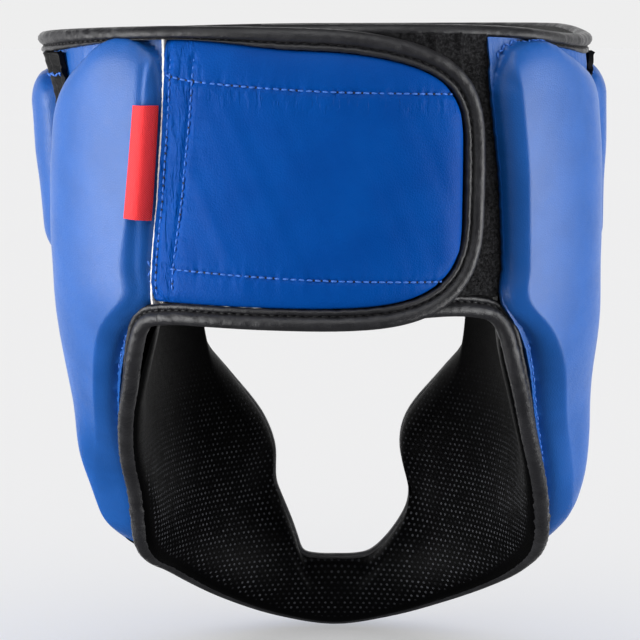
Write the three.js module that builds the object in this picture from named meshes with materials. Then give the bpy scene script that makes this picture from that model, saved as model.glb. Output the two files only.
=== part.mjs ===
// Padded head guard with a closed chin, in the shape that it has on a head.
// Millimetres, +Z up. The face looks along +Y and the wearer's right hand is on +X.
// The origin is the middle of the crown opening, in the plane of the top rim.
//
// Every piece lies on one middle surface of the padded wall. A place on it is an angle round
// the head (0 at the nape, 90 at the right ear, 180 at the face, negative on the left) and a
// height. Pads stand out from it, the lining stands in from it, and the bindings run along it.
import * as THREE from 'three';

// Driving sizes
const CLEARANCE = 0.3;
const PLAN_POWER = 2.25;
const MM_PER_DEGREE = 1.7;
const FULL_TURN = 360;

const BINDING_WIDTH = 8;
const BINDING_THICKNESS = 6.5;
const FACE_BINDING_WIDTH = 6;
const BINDING_STEPS_PER_DEGREE = 0.17;
const BINDING_SECTION = { sides: 8, squareness: 0.6, fullness: 1.05 };
const BINDING_END_LAP = 0.6;
const STRAP_BINDING_START = 0.8;
const FLAP_SINK = { angle: 46, over: 10 };

const LINING_EDGE = 1.4;
const LINING_GAP = 0.95;
const LINING_INSET = 1.3;
const LINING_FACE_INSET = 1.9;
const LINING_ROUND = { rim: 30, neck: 26, face: 20, rear: 18 };
const LINING_REAR_ANGLE = { left: -37.5, right: 40 };

const PAD_EDGE = 1.6;
const GUSSET_THICKNESS = 4;
const GUSSET_WIDTH = 11;
const GUSSET_FOLDS = 3;
const GUSSET_FOLD_DEPTH = 1.2;

const STRAP_THICKNESS = 7;
const STRAP_EDGE = 4;
const STRAP_ROUND = 9;
const LOOP_PATCH_THICKNESS = 3.4;
const LOOP_PATCH_FREE_ANGLE = -14;
const LOOP_PATCH_TUCK = 0.6;
const UNDER_STRAP_OFFSET = -3.9;
const SEAM_EDGE_WIDTH = 1.3;
const SEAM_EDGE_HEIGHT = 6;
const REAR_PAD_JAW = { fromAngle: 47, shortOfGusset: 9 };

const LABEL_HEIGHT = 43;
const LABEL_THICKNESS = 0.9;
const LABEL_TOP = -30;
const LABEL_REACH = 0.052;
const LABEL_ROOT = 0.012;
const LABEL_LIFT = 0.8;

const BLUE = 0x1c4fae;
const BLACK = 0x1b1b1d;
const TAPE_BLACK = 0x121214;
const RED = 0xd8323a;
const PALE = 0xe6e2d8;

// Reach of the middle surface from the axis to each side, by height
const WALL_LEVELS = [
  { z: 8, left: 117, right: 102, front: 112, back: 103 },
  { z: -6, left: 114, right: 101.5, front: 112, back: 103 },
  { z: -30, left: 107, right: 100, front: 112, back: 103 },
  { z: -60, left: 104, right: 99, front: 112, back: 103 },
  { z: -110, left: 97, right: 95.5, front: 111, back: 101 },
  { z: -154, left: 85.5, right: 86, front: 109, back: 97 },
  { z: -190, left: 81, right: 86, front: 106, back: 93 },
  { z: -220, left: 81, right: 87, front: 103, back: 90 },
  { z: -275, left: 77, right: 82, front: 99, back: 88 },
];

// Reach of the hollow that the head fills
const HOLLOW_LEVELS = [
  { z: 8, left: 83, right: 79, front: 94, back: 98 },
  { z: -110, left: 80, right: 79, front: 95, back: 97 },
  { z: -154, left: 76, right: 78, front: 95, back: 92 },
  { z: -205, left: 72.5, right: 78, front: 92, back: 88 },
  { z: -275, left: 68, right: 73, front: 88, back: 84 },
];

// Height of the top rim round the crown
const RIM_HEIGHT = [
  { angle: -180, z: 0.5 },
  { angle: -95, z: -3 },
  { angle: -40, z: -1 },
  { angle: 0, z: 0 },
  { angle: 36, z: -0.5 },
  { angle: 62, z: -3.5 },
  { angle: 95, z: -3 },
  { angle: 180, z: 0.5 },
];

// Lowest edge of the guard, from the nape round the jaw to the chin
const NECK_HEIGHT = [
  { angle: 0, left: -112, right: -112 },
  { angle: 38, left: -113, right: -111 },
  { angle: 45, left: -128, right: -131 },
  { angle: 52, left: -142, right: -147 },
  { angle: 60, left: -154, right: -163 },
  { angle: 70, left: -164, right: -180 },
  { angle: 80, left: -171, right: -196 },
  { angle: 90, left: -180, right: -209 },
  { angle: 97, left: -198, right: -215.5 },
  { angle: 104, left: -218, right: -221.5 },
  { angle: 114, left: -227.5, right: -229 },
  { angle: 128, left: -236, right: -239.5 },
  { angle: 150, left: -254, right: -255 },
  { angle: 165, left: -264, right: -264 },
  { angle: 180, left: -268.5, right: -268.5 },
];

// Half widths of the face opening, from the brow to the corner of the eye
const BROW_EDGE = [
  { left: 0, right: 0, z: -79 },
  { left: 32, right: 32, z: -80 },
  { left: 58, right: 58, z: -85 },
  { left: 71, right: 71, z: -98 },
];

// Half widths of the face opening, from the corner of the eye down to the chin
const CHEEK_EDGE = [
  { left: 71, right: 71, z: -99 },
  { left: 69, right: 69, z: -117 },
  { left: 62, right: 62.5, z: -133 },
  { left: 47.5, right: 47.5, z: -152 },
  { left: 33, right: 32.5, z: -171 },
  { left: 26.5, right: 28.5, z: -187 },
  { left: 26.5, right: 31, z: -201 },
  { left: 21, right: 28.5, z: -215 },
  { left: 16, right: 19, z: -228 },
  { left: 11, right: 11, z: -235.5 },
  { left: 0, right: 0, z: -236.5 },
];

// Sewn lines beside the strap, where the rear pads begin
const REAR_SEAM = [
  { z: -6, left: -32.2, right: 34 },
  { z: -60, left: -34, right: 37.4 },
  { z: -104, left: -36.8, right: 39.2 },
];

// Middle of the gusset between rear pad and front pads
const GUSSET_LINE = [
  { z: -8, left: -79, right: 90 },
  { z: -60, left: -82, right: 93 },
  { z: -110, left: -92, right: 99 },
  { z: -165, left: -106, right: 108 },
  { z: -205, left: -118, right: 119 },
  { z: -232, left: -130, right: 130 },
];

// Seam between each cheek pad and the chin pad, at the opening and at the lower edge
const CHIN_SEAM = { z: -203, lowAngle: 149, gapShare: 0.012, gapAngle: 0.5 };

// Visible leather of the strap, inside its binding
const STRAP_OUTLINE = [
  { angle: -33.5, top: -9, bottom: -103.5 },
  { angle: -10, top: -9.5, bottom: -104.3 },
  { angle: 4, top: -10.6, bottom: -104.4 },
  { angle: 13.5, top: -13.5, bottom: -103 },
  { angle: 20, top: -17.5, bottom: -99.5 },
  { angle: 24.3, top: -23, bottom: -93.5 },
  { angle: 26.8, top: -31, bottom: -85 },
  { angle: 27.7, top: -41, bottom: -75 },
];

// Standing height of each pad beside its first edge, beside the start of its second edge and
// low on that edge, and how far its crown takes to round off towards each of its four edges
const PADS = {
  left_rear_pad: { first: 21, second: 9, low: 18, round: { first: 9, second: 24, start: 28, end: 22 } },
  right_rear_pad: { first: 20, second: 8, low: 14, round: { first: 11, second: 22, start: 22, end: 22 } },
  brow_pad: { first: 22, second: 22, low: 22, round: { first: 16, second: 22, start: 18, end: 18 } },
  left_cheek_pad: { first: 18, second: 14, low: 14, round: { first: 16, second: 18, start: 16, end: 14 } },
  right_cheek_pad: { first: 18, second: 14, low: 14, round: { first: 16, second: 18, start: 16, end: 14 } },
  chin_pad: { first: 18, second: 18, low: 18, round: { first: 12, second: 12, start: 14, end: 14 } },
};
const BROW_SIDE_HEIGHT = { left: 17, right: 9 };
const BROW_SEAM_DROP = 2;
const BROW_CORNER_SHIFT = 2.5;
const BROW_EDGE_STEPS = 8;

// Cells of each piece along and across, and how strongly they crowd towards its edges
const CELLS = {
  rear_pad: { along: 17, alongCrowd: 0.55, across: 12, acrossCrowd: 0.8 },
  brow_pad: { along: 28, alongCrowd: 0.15, across: 8, acrossCrowd: 0.7 },
  cheek_pad: { along: 13, alongCrowd: 0.35, across: 9, acrossCrowd: 0.75 },
  chin_pad: { along: 16, alongCrowd: 0.3, across: 6, acrossCrowd: 0.7 },
  gusset: { along: 11, alongCrowd: 0.2, across: 2 * GUSSET_FOLDS, acrossCrowd: 0 },
  closure_strap: { along: 14, alongCrowd: 0.6, across: 8, acrossCrowd: 0.5 },
  loop_patch: { along: 9, alongCrowd: 0, across: 6, acrossCrowd: 0 },
  seam_edge: { along: 14, alongCrowd: 0, across: 1, acrossCrowd: 0 },
  label_tab: { along: 6, alongCrowd: 0, across: 6, acrossCrowd: 0.5 },
};
const LINING_CELLS = { low: 6, high: 5, side: 11, front: 11, rowCrowd: 0.5, sideCrowd: 0.2 };
const STRAP_BINDING_CELLS = 44;
const FACE_BINDING_CELLS = { brow: 9, cheek: 17 };

// Tables and curves

/** Smooth value of one column of a table at a key, held level past its ends. */
function lookUp(table, keyName, key, column) {
  const rows = [...table].sort((a, b) => a[keyName] - b[keyName]);
  const last = rows.length - 1;
  if (key <= rows[0][keyName]) return rows[0][column];
  if (key >= rows[last][keyName]) return rows[last][column];
  let i = 0;
  while (rows[i + 1][keyName] < key) i += 1;
  const slope = (k) => {
    if (k === 0 || k === last) return 0;
    const rise = rows[k + 1][column] - rows[k - 1][column];
    return rise / (rows[k + 1][keyName] - rows[k - 1][keyName]);
  };
  const span = rows[i + 1][keyName] - rows[i][keyName];
  const t = (key - rows[i][keyName]) / span;
  const rise = t * t * (3 - 2 * t);
  const startTangent = t * (1 - t) * (1 - t) * span * slope(i);
  const endTangent = t * t * (t - 1) * span * slope(i + 1);
  const step = rows[i + 1][column] - rows[i][column];
  return rows[i][column] + step * rise + startTangent + endTangent;
}

/** Angle brought into the range from -180 to 180 degrees. */
function wrapAngle(angle) {
  return angle - FULL_TURN * Math.round(angle / FULL_TURN);
}

/** Name of the side that a signed angle lies on. */
function sideOf(angle) {
  return wrapAngle(angle) < 0 ? 'left' : 'right';
}

/** Evenly spaced fractions from 0 to 1, crowded towards both ends by the given share. */
function fractions(count, crowding) {
  return Array.from({ length: count + 1 }, (_, k) => {
    const even = k / count;
    const eased = (1 - Math.cos(Math.PI * even)) / 2;
    return even + (eased - even) * crowding;
  });
}

/** Point on a rounded plan outline at an angle and a height. */
function planPoint(levels, angle, z) {
  const turn = THREE.MathUtils.degToRad(angle);
  const dx = Math.sin(turn);
  const dy = -Math.cos(turn);
  const reachX = lookUp(levels, 'z', z, dx < 0 ? 'left' : 'right');
  const reachY = lookUp(levels, 'z', z, dy < 0 ? 'back' : 'front');
  const sum = (Math.abs(dx) / reachX) ** PLAN_POWER + (Math.abs(dy) / reachY) ** PLAN_POWER;
  const reach = sum ** (-1 / PLAN_POWER);
  return new THREE.Vector3(dx * reach, dy * reach, z);
}

/** Outward direction of the middle surface, level with the ground. */
function wallNormal(angle, z) {
  const along = planPoint(WALL_LEVELS, angle + 0.5, z).sub(planPoint(WALL_LEVELS, angle - 0.5, z));
  return new THREE.Vector3(along.y, -along.x, 0).normalize();
}

/** Point of the wall at an angle and a height, moved out from the middle surface. */
function wallPoint(angle, z, offset) {
  return planPoint(WALL_LEVELS, angle, z).addScaledVector(wallNormal(angle, z), offset);
}

/** Depth of the padding between the middle surface and the hollow. */
function liningDepth(angle, z) {
  return planPoint(WALL_LEVELS, angle, z).distanceTo(planPoint(HOLLOW_LEVELS, angle, z));
}

/** Angle at which the front of the wall has a given half width. */
function frontAngle(half, z, side) {
  const reachX = lookUp(WALL_LEVELS, 'z', z, side);
  const reachY = lookUp(WALL_LEVELS, 'z', z, 'front');
  const y = reachY * (1 - (half / reachX) ** PLAN_POWER) ** (1 / PLAN_POWER);
  const fromFace = THREE.MathUtils.radToDeg(Math.atan2(half, y));
  return (side === 'left' ? -1 : 1) * (FULL_TURN / 2 - fromFace);
}

/** Place on the unrolled wall, in millimetres both ways. */
function unrolled(angle, z) {
  return new THREE.Vector2(angle * MM_PER_DEGREE, z);
}

/** Smooth curve on the unrolled wall through a few places. */
function unrolledCurve(places) {
  return new THREE.SplineCurve(places.map((place) => unrolled(place.angle, place.z)));
}

/** Height of the top rim, let down by a distance. */
function rimHeight(angle, inset) {
  return lookUp(RIM_HEIGHT, 'angle', wrapAngle(angle), 'z') - inset;
}

/** Length of one degree of the wall's plan outline at a place. */
function arcPerDegree(angle, z) {
  return planPoint(WALL_LEVELS, angle + 0.5, z).distanceTo(planPoint(WALL_LEVELS, angle - 0.5, z));
}

/** Height of the lower edge, moved up the wall by a distance square to the edge. */
function neckHeight(angle, inset) {
  const edge = (degrees) => (
    lookUp(NECK_HEIGHT, 'angle', Math.abs(wrapAngle(degrees)), sideOf(degrees)));
  const reach = inset / arcPerDegree(angle, edge(angle));
  const heights = fractions(20, 0).map((t) => {
    const share = 2 * t - 1;
    return edge(angle + share * reach) + inset * Math.sqrt(1 - share * share);
  });
  return Math.max(...heights);
}

const WALL_INSET = BINDING_WIDTH + CLEARANCE;
const FACE_INSET = FACE_BINDING_WIDTH + 2 * CLEARANCE;
const BROW_INSET = FACE_INSET + 3 * CLEARANCE;

/** Edge of the face opening on one side as a curve, moved back from the opening. */
function faceEdgeCurve(table, side, inset) {
  const edge = unrolledCurve(table.map((row) => (
    { angle: frontAngle(row[side], row.z, side), z: row.z })));
  const sign = side === 'left' ? -1 : 1;
  const places = fractions(table.length * 2, 0).map((t) => {
    const tangent = edge.getTangentAt(t);
    return edge.getPointAt(t).add(new THREE.Vector2(tangent.y, -tangent.x).multiplyScalar(sign * inset));
  });
  const middle = sign * (FULL_TURN / 2) * MM_PER_DEGREE;
  places[table === BROW_EDGE ? 0 : places.length - 1].x = middle;
  return new THREE.SplineCurve(places);
}

// Solids

/** Closed geometry from an outer skin, an inner skin and the cells that both share. */
function closedShell(outer, inner, cells) {
  const count = outer.length;
  const triangles = [];
  const edgeUse = new Map();
  const addQuad = (a, b, c, d) => triangles.push([a, b, c], [a, c, d]);
  for (const cell of cells) {
    addQuad(...cell);
    addQuad(...[...cell].reverse().map((k) => k + count));
    cell.forEach((from, k) => {
      const to = cell[(k + 1) % cell.length];
      const name = from < to ? `${from} ${to}` : `${to} ${from}`;
      edgeUse.set(name, edgeUse.has(name) ? null : [from, to]);
    });
  }
  for (const edge of edgeUse.values()) {
    if (edge) addQuad(edge[1], edge[0], edge[0] + count, edge[1] + count);
  }
  const points = [...outer, ...inner];
  const volume = triangles.reduce((sum, [a, b, c]) => (
    sum + points[a].dot(new THREE.Vector3().crossVectors(points[b], points[c]))), 0);
  const used = new Map();
  const kept = [];
  const index = triangles.flatMap((corner) => (volume > 0 ? corner : [...corner].reverse()))
    .map((k) => {
      if (!used.has(k)) {
        used.set(k, kept.length);
        kept.push(points[k]);
      }
      return used.get(k);
    });
  const geometry = new THREE.BufferGeometry().setFromPoints(kept);
  geometry.setIndex(index);
  geometry.computeVertexNormals();
  return geometry;
}

/** Closed geometry of one rectangular patch whose skins are functions of two fractions. */
function patchShell(counts, outerAt, innerAt) {
  const alongSteps = fractions(counts.along, counts.alongCrowd);
  const acrossSteps = fractions(counts.across, counts.acrossCrowd);
  const outer = [];
  const inner = [];
  const cells = [];
  const width = acrossSteps.length;
  alongSteps.forEach((s, i) => acrossSteps.forEach((t, j) => {
    outer.push(outerAt(s, t));
    inner.push(innerAt(s, t));
    if (i > 0 && j > 0) {
      const k = i * width + j;
      cells.push([k - width - 1, k - width, k, k - 1]);
    }
  }));
  return closedShell(outer, inner, cells);
}

/** Places at a few shares of a curve's length. */
function placesOn(curve, shares) {
  return shares.map((t) => {
    const spot = curve.getPointAt(t);
    return { angle: spot.x / MM_PER_DEGREE, z: spot.y };
  });
}

/** Place on the unrolled wall between two boundary curves. */
function between(first, second, s, t) {
  const place = first.getPointAt(s).lerp(second.getPointAt(s), t);
  return { angle: place.x / MM_PER_DEGREE, z: place.y };
}

/** Pad between two boundary curves: its place and its standing height by two fractions. */
function padSurface(first, second, sizes, heightAt) {
  const length = (first.getLength() + second.getLength()) / 2;
  const { round } = sizes;
  const height = (s, t) => {
    const across = first.getPointAt(s).distanceTo(second.getPointAt(s));
    const nearness = (fromStart, startRound, fromEnd, endRound) => (
      Math.max(0, 1 - fromStart / startRound, 1 - fromEnd / endRound));
    const qAcross = nearness(t * across, round.first, (1 - t) * across, round.second);
    const qAlong = nearness(s * length, round.start, (1 - s) * length, round.end);
    const crown = Math.sqrt((1 - qAcross ** 2) * (1 - qAlong ** 2));
    return PAD_EDGE + (heightAt(s, t) - PAD_EDGE) * crown;
  };
  const pointAt = (s, t, lift) => {
    const { angle, z } = between(first, second, s, t);
    const lowest = neckHeight(angle, WALL_INSET + 2 * CLEARANCE);
    const kept = THREE.MathUtils.clamp(z, lowest, rimHeight(angle, WALL_INSET));
    return wallPoint(angle, kept, CLEARANCE + lift);
  };
  return {
    outer: (s, t, lift = 0) => pointAt(s, t, height(s, t) + lift),
    inner: (s, t) => pointAt(s, t, 0),
  };
}

/** Standing height that goes evenly from a pad's first edge to its second. */
function evenHeight(sizes) {
  return (s, t) => (
    THREE.MathUtils.lerp(sizes.first, THREE.MathUtils.lerp(sizes.second, sizes.low, s), t));
}

/** Closed band swept along frames, with a flattened section of a few sides. */
function sweptBand(frames, width, thickness, closed) {
  const { sides, squareness, fullness } = BINDING_SECTION;
  const shape = Array.from({ length: sides }, (_, k) => {
    const turn = (k + 0.5) * 2 * Math.PI / sides;
    const flat = (value, size) => (
      Math.sign(value) * Math.abs(value) ** squareness * fullness * size / 2);
    return { across: flat(Math.cos(turn), width), out: flat(Math.sin(turn), thickness) };
  });
  const points = frames.flatMap((frame) => shape.map((corner) => (
    frame.point.clone()
      .addScaledVector(frame.across, corner.across)
      .addScaledVector(frame.out, corner.out))));
  const index = [];
  const rings = frames.length;
  const lastRing = closed ? rings : rings - 1;
  for (let i = 0; i < lastRing; i += 1) {
    for (let k = 0; k < sides; k += 1) {
      const here = i * sides;
      const next = ((i + 1) % rings) * sides;
      const after = (k + 1) % sides;
      index.push(here + k, next + k, next + after, here + k, next + after, here + after);
    }
  }
  if (!closed) {
    const tail = (rings - 1) * sides;
    for (let k = 1; k < sides - 1; k += 1) {
      index.push(0, k, k + 1, tail, tail + k + 1, tail + k);
    }
  }
  const geometry = new THREE.BufferGeometry().setFromPoints(points);
  let volume = 0;
  for (let k = 0; k < index.length; k += 3) {
    const [a, b, c] = index.slice(k, k + 3).map((corner) => points[corner]);
    volume += a.dot(new THREE.Vector3().crossVectors(b, c));
  }
  geometry.setIndex(volume > 0 ? index : index.reverse());
  geometry.computeVertexNormals();
  return geometry;
}

/** Frames along a path of places on the wall, for a band that lies on it. */
function wallFrames(places, closed) {
  const points = places.map((place) => wallPoint(place.angle, place.z, place.offset ?? 0));
  const count = points.length;
  return places.map((place, k) => {
    const before = closed ? points[(k + count - 1) % count] : points[Math.max(k - 1, 0)];
    const after = closed ? points[(k + 1) % count] : points[Math.min(k + 1, count - 1)];
    const tangent = after.clone().sub(before).normalize();
    const out = wallNormal(place.angle, place.z);
    out.addScaledVector(tangent, -out.dot(tangent)).normalize();
    const across = new THREE.Vector3().crossVectors(tangent, out);
    return { point: points[k], out, across };
  });
}

/** Named mesh with a finish of its own. */
function piece(name, geometry, color, roughness) {
  const material = new THREE.MeshStandardMaterial({ color, roughness, metalness: 0 });
  const mesh = new THREE.Mesh(geometry, material);
  mesh.name = name;
  return mesh;
}

// Pieces

/** Padded inner wall: a band round the head with the face opening left out of it. */
function lining() {
  const lowRows = fractions(LINING_CELLS.low, LINING_CELLS.rowCrowd);
  const highRows = fractions(LINING_CELLS.high, LINING_CELLS.rowCrowd);
  const sideSteps = fractions(LINING_CELLS.side, LINING_CELLS.sideCrowd);
  const frontSteps = fractions(LINING_CELLS.front, 0);
  const outer = [];
  const inner = [];
  const columns = [];

  const nearEdge = (distance, round) => Math.max(0, 1 - distance / round);
  const addPoint = (place, qEdges) => {
    const crown = Math.sqrt(Math.max(0, 1 - qEdges.reduce((sum, q) => sum + q * q, 0)));
    const depth = LINING_EDGE + (liningDepth(place.angle, place.z) - LINING_EDGE) * crown;
    outer.push(wallPoint(place.angle, place.z, -LINING_GAP));
    inner.push(wallPoint(place.angle, place.z, -LINING_GAP - depth));
    return outer.length - 1;
  };
  const column = (low, lowMiddle, highMiddle, high, qSide, isOpening) => {
    const lowLength = low.distanceTo(lowMiddle);
    const highLength = highMiddle.distanceTo(high);
    const place = (from, to, t) => {
      const spot = from.clone().lerp(to, t);
      return { angle: spot.x / MM_PER_DEGREE, z: spot.y };
    };
    const qFace = (distance) => (isOpening ? nearEdge(distance, LINING_ROUND.face) : 0);
    const lower = lowRows.map((t) => addPoint(place(low, lowMiddle, t), [
      qSide, Math.max(nearEdge(t * lowLength, LINING_ROUND.neck), qFace((1 - t) * lowLength))]));
    const upper = highRows.map((t, k) => (k === 0 && !isOpening
      ? lower[lower.length - 1]
      : addPoint(place(highMiddle, high, t), [
        qSide, Math.max(nearEdge((1 - t) * highLength, LINING_ROUND.rim), qFace(t * highLength))])));
    columns.push({ lower, upper });
  };

  const eyeCorner = BROW_EDGE.at(-1);
  const corner = {
    left: frontAngle(eyeCorner.left, eyeCorner.z, 'left'),
    right: frontAngle(eyeCorner.right, eyeCorner.z, 'right'),
  };
  const sideColumns = (side, steps) => steps.forEach((s) => {
    const rear = LINING_REAR_ANGLE[side];
    const front = corner[side] - Math.sign(rear) * FACE_INSET / MM_PER_DEGREE;
    const angle = THREE.MathUtils.lerp(rear, front, s);
    const low = unrolled(angle, neckHeight(angle, WALL_INSET + LINING_INSET));
    const high = unrolled(angle, rimHeight(angle, WALL_INSET + LINING_INSET));
    const middleZ = THREE.MathUtils.lerp((low.y + high.y) / 2, eyeCorner.z, s * (1 + s) / 2);
    const middle = unrolled(angle, middleZ);
    const fromRear = s * Math.abs(front - rear) * MM_PER_DEGREE;
    column(low, middle, middle, high, nearEdge(fromRear, LINING_ROUND.rear), false);
  });
  const frontColumns = (side, steps) => {
    const sign = side === 'left' ? -1 : 1;
    const cheek = faceEdgeCurve(CHEEK_EDGE, side, FACE_INSET + LINING_FACE_INSET);
    const brow = faceEdgeCurve(BROW_EDGE, side, FACE_INSET + LINING_FACE_INSET);
    const start = corner[side] - sign * FACE_INSET / MM_PER_DEGREE;
    steps.forEach((s) => {
      const lowAngle = THREE.MathUtils.lerp(start, sign * FULL_TURN / 2, s);
      const low = unrolled(lowAngle, neckHeight(lowAngle, WALL_INSET + LINING_INSET));
      const browPlace = brow.getPointAt(1 - s);
      const rim = rimHeight(browPlace.x / MM_PER_DEGREE, WALL_INSET + LINING_INSET);
      const high = new THREE.Vector2(browPlace.x, rim);
      column(low, cheek.getPointAt(s), browPlace, high, 0, true);
    });
  };
  sideColumns('left', sideSteps);
  frontColumns('left', frontSteps.slice(1));
  frontColumns('right', frontSteps.slice(1, -1).reverse());
  sideColumns('right', [...sideSteps].reverse());

  const cells = [];
  for (let i = 1; i < columns.length; i += 1) {
    for (const band of ['lower', 'upper']) {
      const before = columns[i - 1][band];
      const here = columns[i][band];
      for (let j = 1; j < here.length; j += 1) {
        cells.push([before[j - 1], before[j], here[j], here[j - 1]]);
      }
    }
  }
  return piece('lining', closedShell(outer, inner, cells), BLACK, 0.8);
}

/** Edge of the gusset on one side, as a curve from the rim down to the lower edge. */
function gussetEdge(side, fromMiddle, topZ) {
  const sign = side === 'left' ? -1 : 1;
  const shift = sign * fromMiddle / MM_PER_DEGREE;
  const angleAt = (z) => lookUp(GUSSET_LINE, 'z', z, side) + shift;
  let lowZ = GUSSET_LINE.at(-1).z;
  for (let k = 0; k < GUSSET_LINE.length; k += 1) {
    lowZ = neckHeight(angleAt(lowZ), WALL_INSET + CLEARANCE);
  }
  return unrolledCurve(fractions(12, 0).map((t) => {
    const z = THREE.MathUtils.lerp(topZ, lowZ, t);
    return { angle: angleAt(z), z: Math.min(z, rimHeight(angleAt(z), WALL_INSET)) };
  }));
}

const HALF_GUSSET = GUSSET_WIDTH / 2;
const BESIDE_GUSSET = HALF_GUSSET + 3 * CLEARANCE;
const RIM_EDGE = rimHeight(0, WALL_INSET);
const TOP_OF_SIDES = rimHeight(95, WALL_INSET);

/** First edge of a rear pad: down the seam beside the strap, then along the lower edge. */
function rearPadEdge(side) {
  const sign = side === 'left' ? -1 : 1;
  const seam = fractions(6, 1).map((t) => {
    const z = THREE.MathUtils.lerp(RIM_EDGE, REAR_SEAM.at(-1).z, t);
    return { angle: lookUp(REAR_SEAM, 'z', z, side) + sign * CLEARANCE / MM_PER_DEGREE, z };
  });
  const endAngle = Math.abs(GUSSET_LINE.at(-1)[side]) - REAR_PAD_JAW.shortOfGusset;
  const jaw = fractions(6, 0).map((t) => {
    const angle = sign * THREE.MathUtils.lerp(REAR_PAD_JAW.fromAngle, endAngle, t);
    return { angle, z: neckHeight(angle, WALL_INSET) };
  });
  return unrolledCurve([...seam, ...jaw]);
}

/** Surface of the rear pad on one side. */
function rearPadSurface(side) {
  const sizes = PADS[`${side}_rear_pad`];
  const gusset = gussetEdge(side, -BESIDE_GUSSET, TOP_OF_SIDES);
  return padSurface(rearPadEdge(side), gusset, sizes, evenHeight(sizes));
}

/** Thick pad behind the ear, from the strap's seam to the gusset. */
function rearPad(side) {
  const surface = rearPadSurface(side);
  const geometry = patchShell(CELLS.rear_pad, surface.outer, surface.inner);
  return piece(`${side}_rear_pad`, geometry, BLUE, 0.45);
}

/** Black gathered strip between the rear pad and the front pads. */
function gusset(side) {
  const first = gussetEdge(side, -HALF_GUSSET, TOP_OF_SIDES);
  const second = gussetEdge(side, HALF_GUSSET, TOP_OF_SIDES);
  const pointAt = (s, t, offset) => {
    const place = between(first, second, s, t);
    return wallPoint(place.angle, place.z, offset);
  };
  const fold = (t) => GUSSET_FOLD_DEPTH * Math.cos(2 * Math.PI * GUSSET_FOLDS * t);
  const geometry = patchShell(CELLS.gusset,
    (s, t) => pointAt(s, t, GUSSET_THICKNESS + fold(t)),
    (s, t) => pointAt(s, t, CLEARANCE));
  return piece(`${side}_gusset`, geometry, TAPE_BLACK, 0.7);
}

/** Front pad over the eyes, from the left gusset round to the right one. */
function browPad() {
  const seamZ = CHEEK_EDGE[0].z + CLEARANCE;
  const gussetSide = (side, z) => {
    const shift = (side === 'left' ? -1 : 1) * BESIDE_GUSSET / MM_PER_DEGREE;
    return lookUp(GUSSET_LINE, 'z', z, side) + shift;
  };
  const halfEdge = (side) => {
    const brow = faceEdgeCurve(BROW_EDGE, side, BROW_INSET);
    const gussetAngle = gussetSide(side, seamZ);
    const cheek = faceEdgeCurve(CHEEK_EDGE, side, FACE_INSET);
    const awayFromFace = (side === 'left' ? 1 : -1) * BROW_CORNER_SHIFT;
    const cornerAngle = cheek.getPointAt(0).x / MM_PER_DEGREE + awayFromFace;
    return [
      { angle: gussetAngle, z: seamZ - BROW_SEAM_DROP },
      { angle: (gussetAngle + cornerAngle) / 2, z: seamZ - BROW_SEAM_DROP / 2 },
      { angle: cornerAngle, z: seamZ },
      ...placesOn(brow, fractions(BROW_EDGE_STEPS, 0).slice(1, -1).reverse()),
    ];
  };
  const turned = (place) => ({ angle: place.angle - FULL_TURN, z: place.z });
  const low = unrolledCurve([
    ...halfEdge('left'),
    { angle: -FULL_TURN / 2, z: BROW_EDGE[0].z + BROW_INSET },
    ...halfEdge('right').map(turned).reverse(),
  ]);
  const topLeft = gussetSide('left', TOP_OF_SIDES);
  const topRight = gussetSide('right', TOP_OF_SIDES) - FULL_TURN;
  const high = unrolledCurve(fractions(8, 0).map((t) => {
    const angle = THREE.MathUtils.lerp(topLeft, topRight, t);
    return { angle, z: rimHeight(angle, WALL_INSET) };
  }));
  const sizes = PADS.brow_pad;
  const heightAt = (s) => {
    const side = s < 0.5 ? BROW_SIDE_HEIGHT.left : BROW_SIDE_HEIGHT.right;
    const towardsFace = Math.sin(Math.PI * s) ** 2;
    return THREE.MathUtils.lerp(side, sizes.first, towardsFace);
  };
  const surface = padSurface(low, high, sizes, heightAt);
  const geometry = patchShell(CELLS.brow_pad, surface.outer, surface.inner);
  return piece('brow_pad', geometry, BLUE, 0.45);
}

/** Share of the cheek edge's length at which the chin seam meets it. */
function chinSeamShare(curve) {
  return fractions(80, 0).find((t) => curve.getPointAt(t).y < CHIN_SEAM.z);
}

/** Part of a curve between two shares of its length. */
function partOf(curve, from, to) {
  const shares = fractions(10, 0).map((t) => THREE.MathUtils.lerp(from, to, t));
  return new THREE.SplineCurve(shares.map((share) => curve.getPointAt(share)));
}

/** Pad beside the face opening, from the gusset to the chin seam. */
function cheekPad(side) {
  const sign = side === 'left' ? -1 : 1;
  const edge = faceEdgeCurve(CHEEK_EDGE, side, FACE_INSET);
  const opening = partOf(edge, CHIN_SEAM.gapShare, chinSeamShare(edge) - CHIN_SEAM.gapShare);
  const topZ = CHEEK_EDGE[0].z - CLEARANCE * 2;
  const gussetSide = gussetEdge(side, BESIDE_GUSSET, topZ - BROW_SEAM_DROP);
  const lastAngle = Math.abs(gussetSide.getPointAt(1).x / MM_PER_DEGREE);
  const jaw = fractions(3, 0).slice(1).map((t) => {
    const angle = sign * THREE.MathUtils.lerp(lastAngle, CHIN_SEAM.lowAngle - CHIN_SEAM.gapAngle, t);
    return { angle, z: neckHeight(angle, WALL_INSET) };
  });
  const outer = unrolledCurve([...placesOn(gussetSide, fractions(7, 0).slice(0, -1)), ...jaw]);
  const sizes = PADS[`${side}_cheek_pad`];
  const surface = padSurface(opening, outer, sizes, evenHeight(sizes));
  const geometry = patchShell(CELLS.cheek_pad, surface.outer, surface.inner);
  return piece(`${side}_cheek_pad`, geometry, BLUE, 0.45);
}

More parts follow.
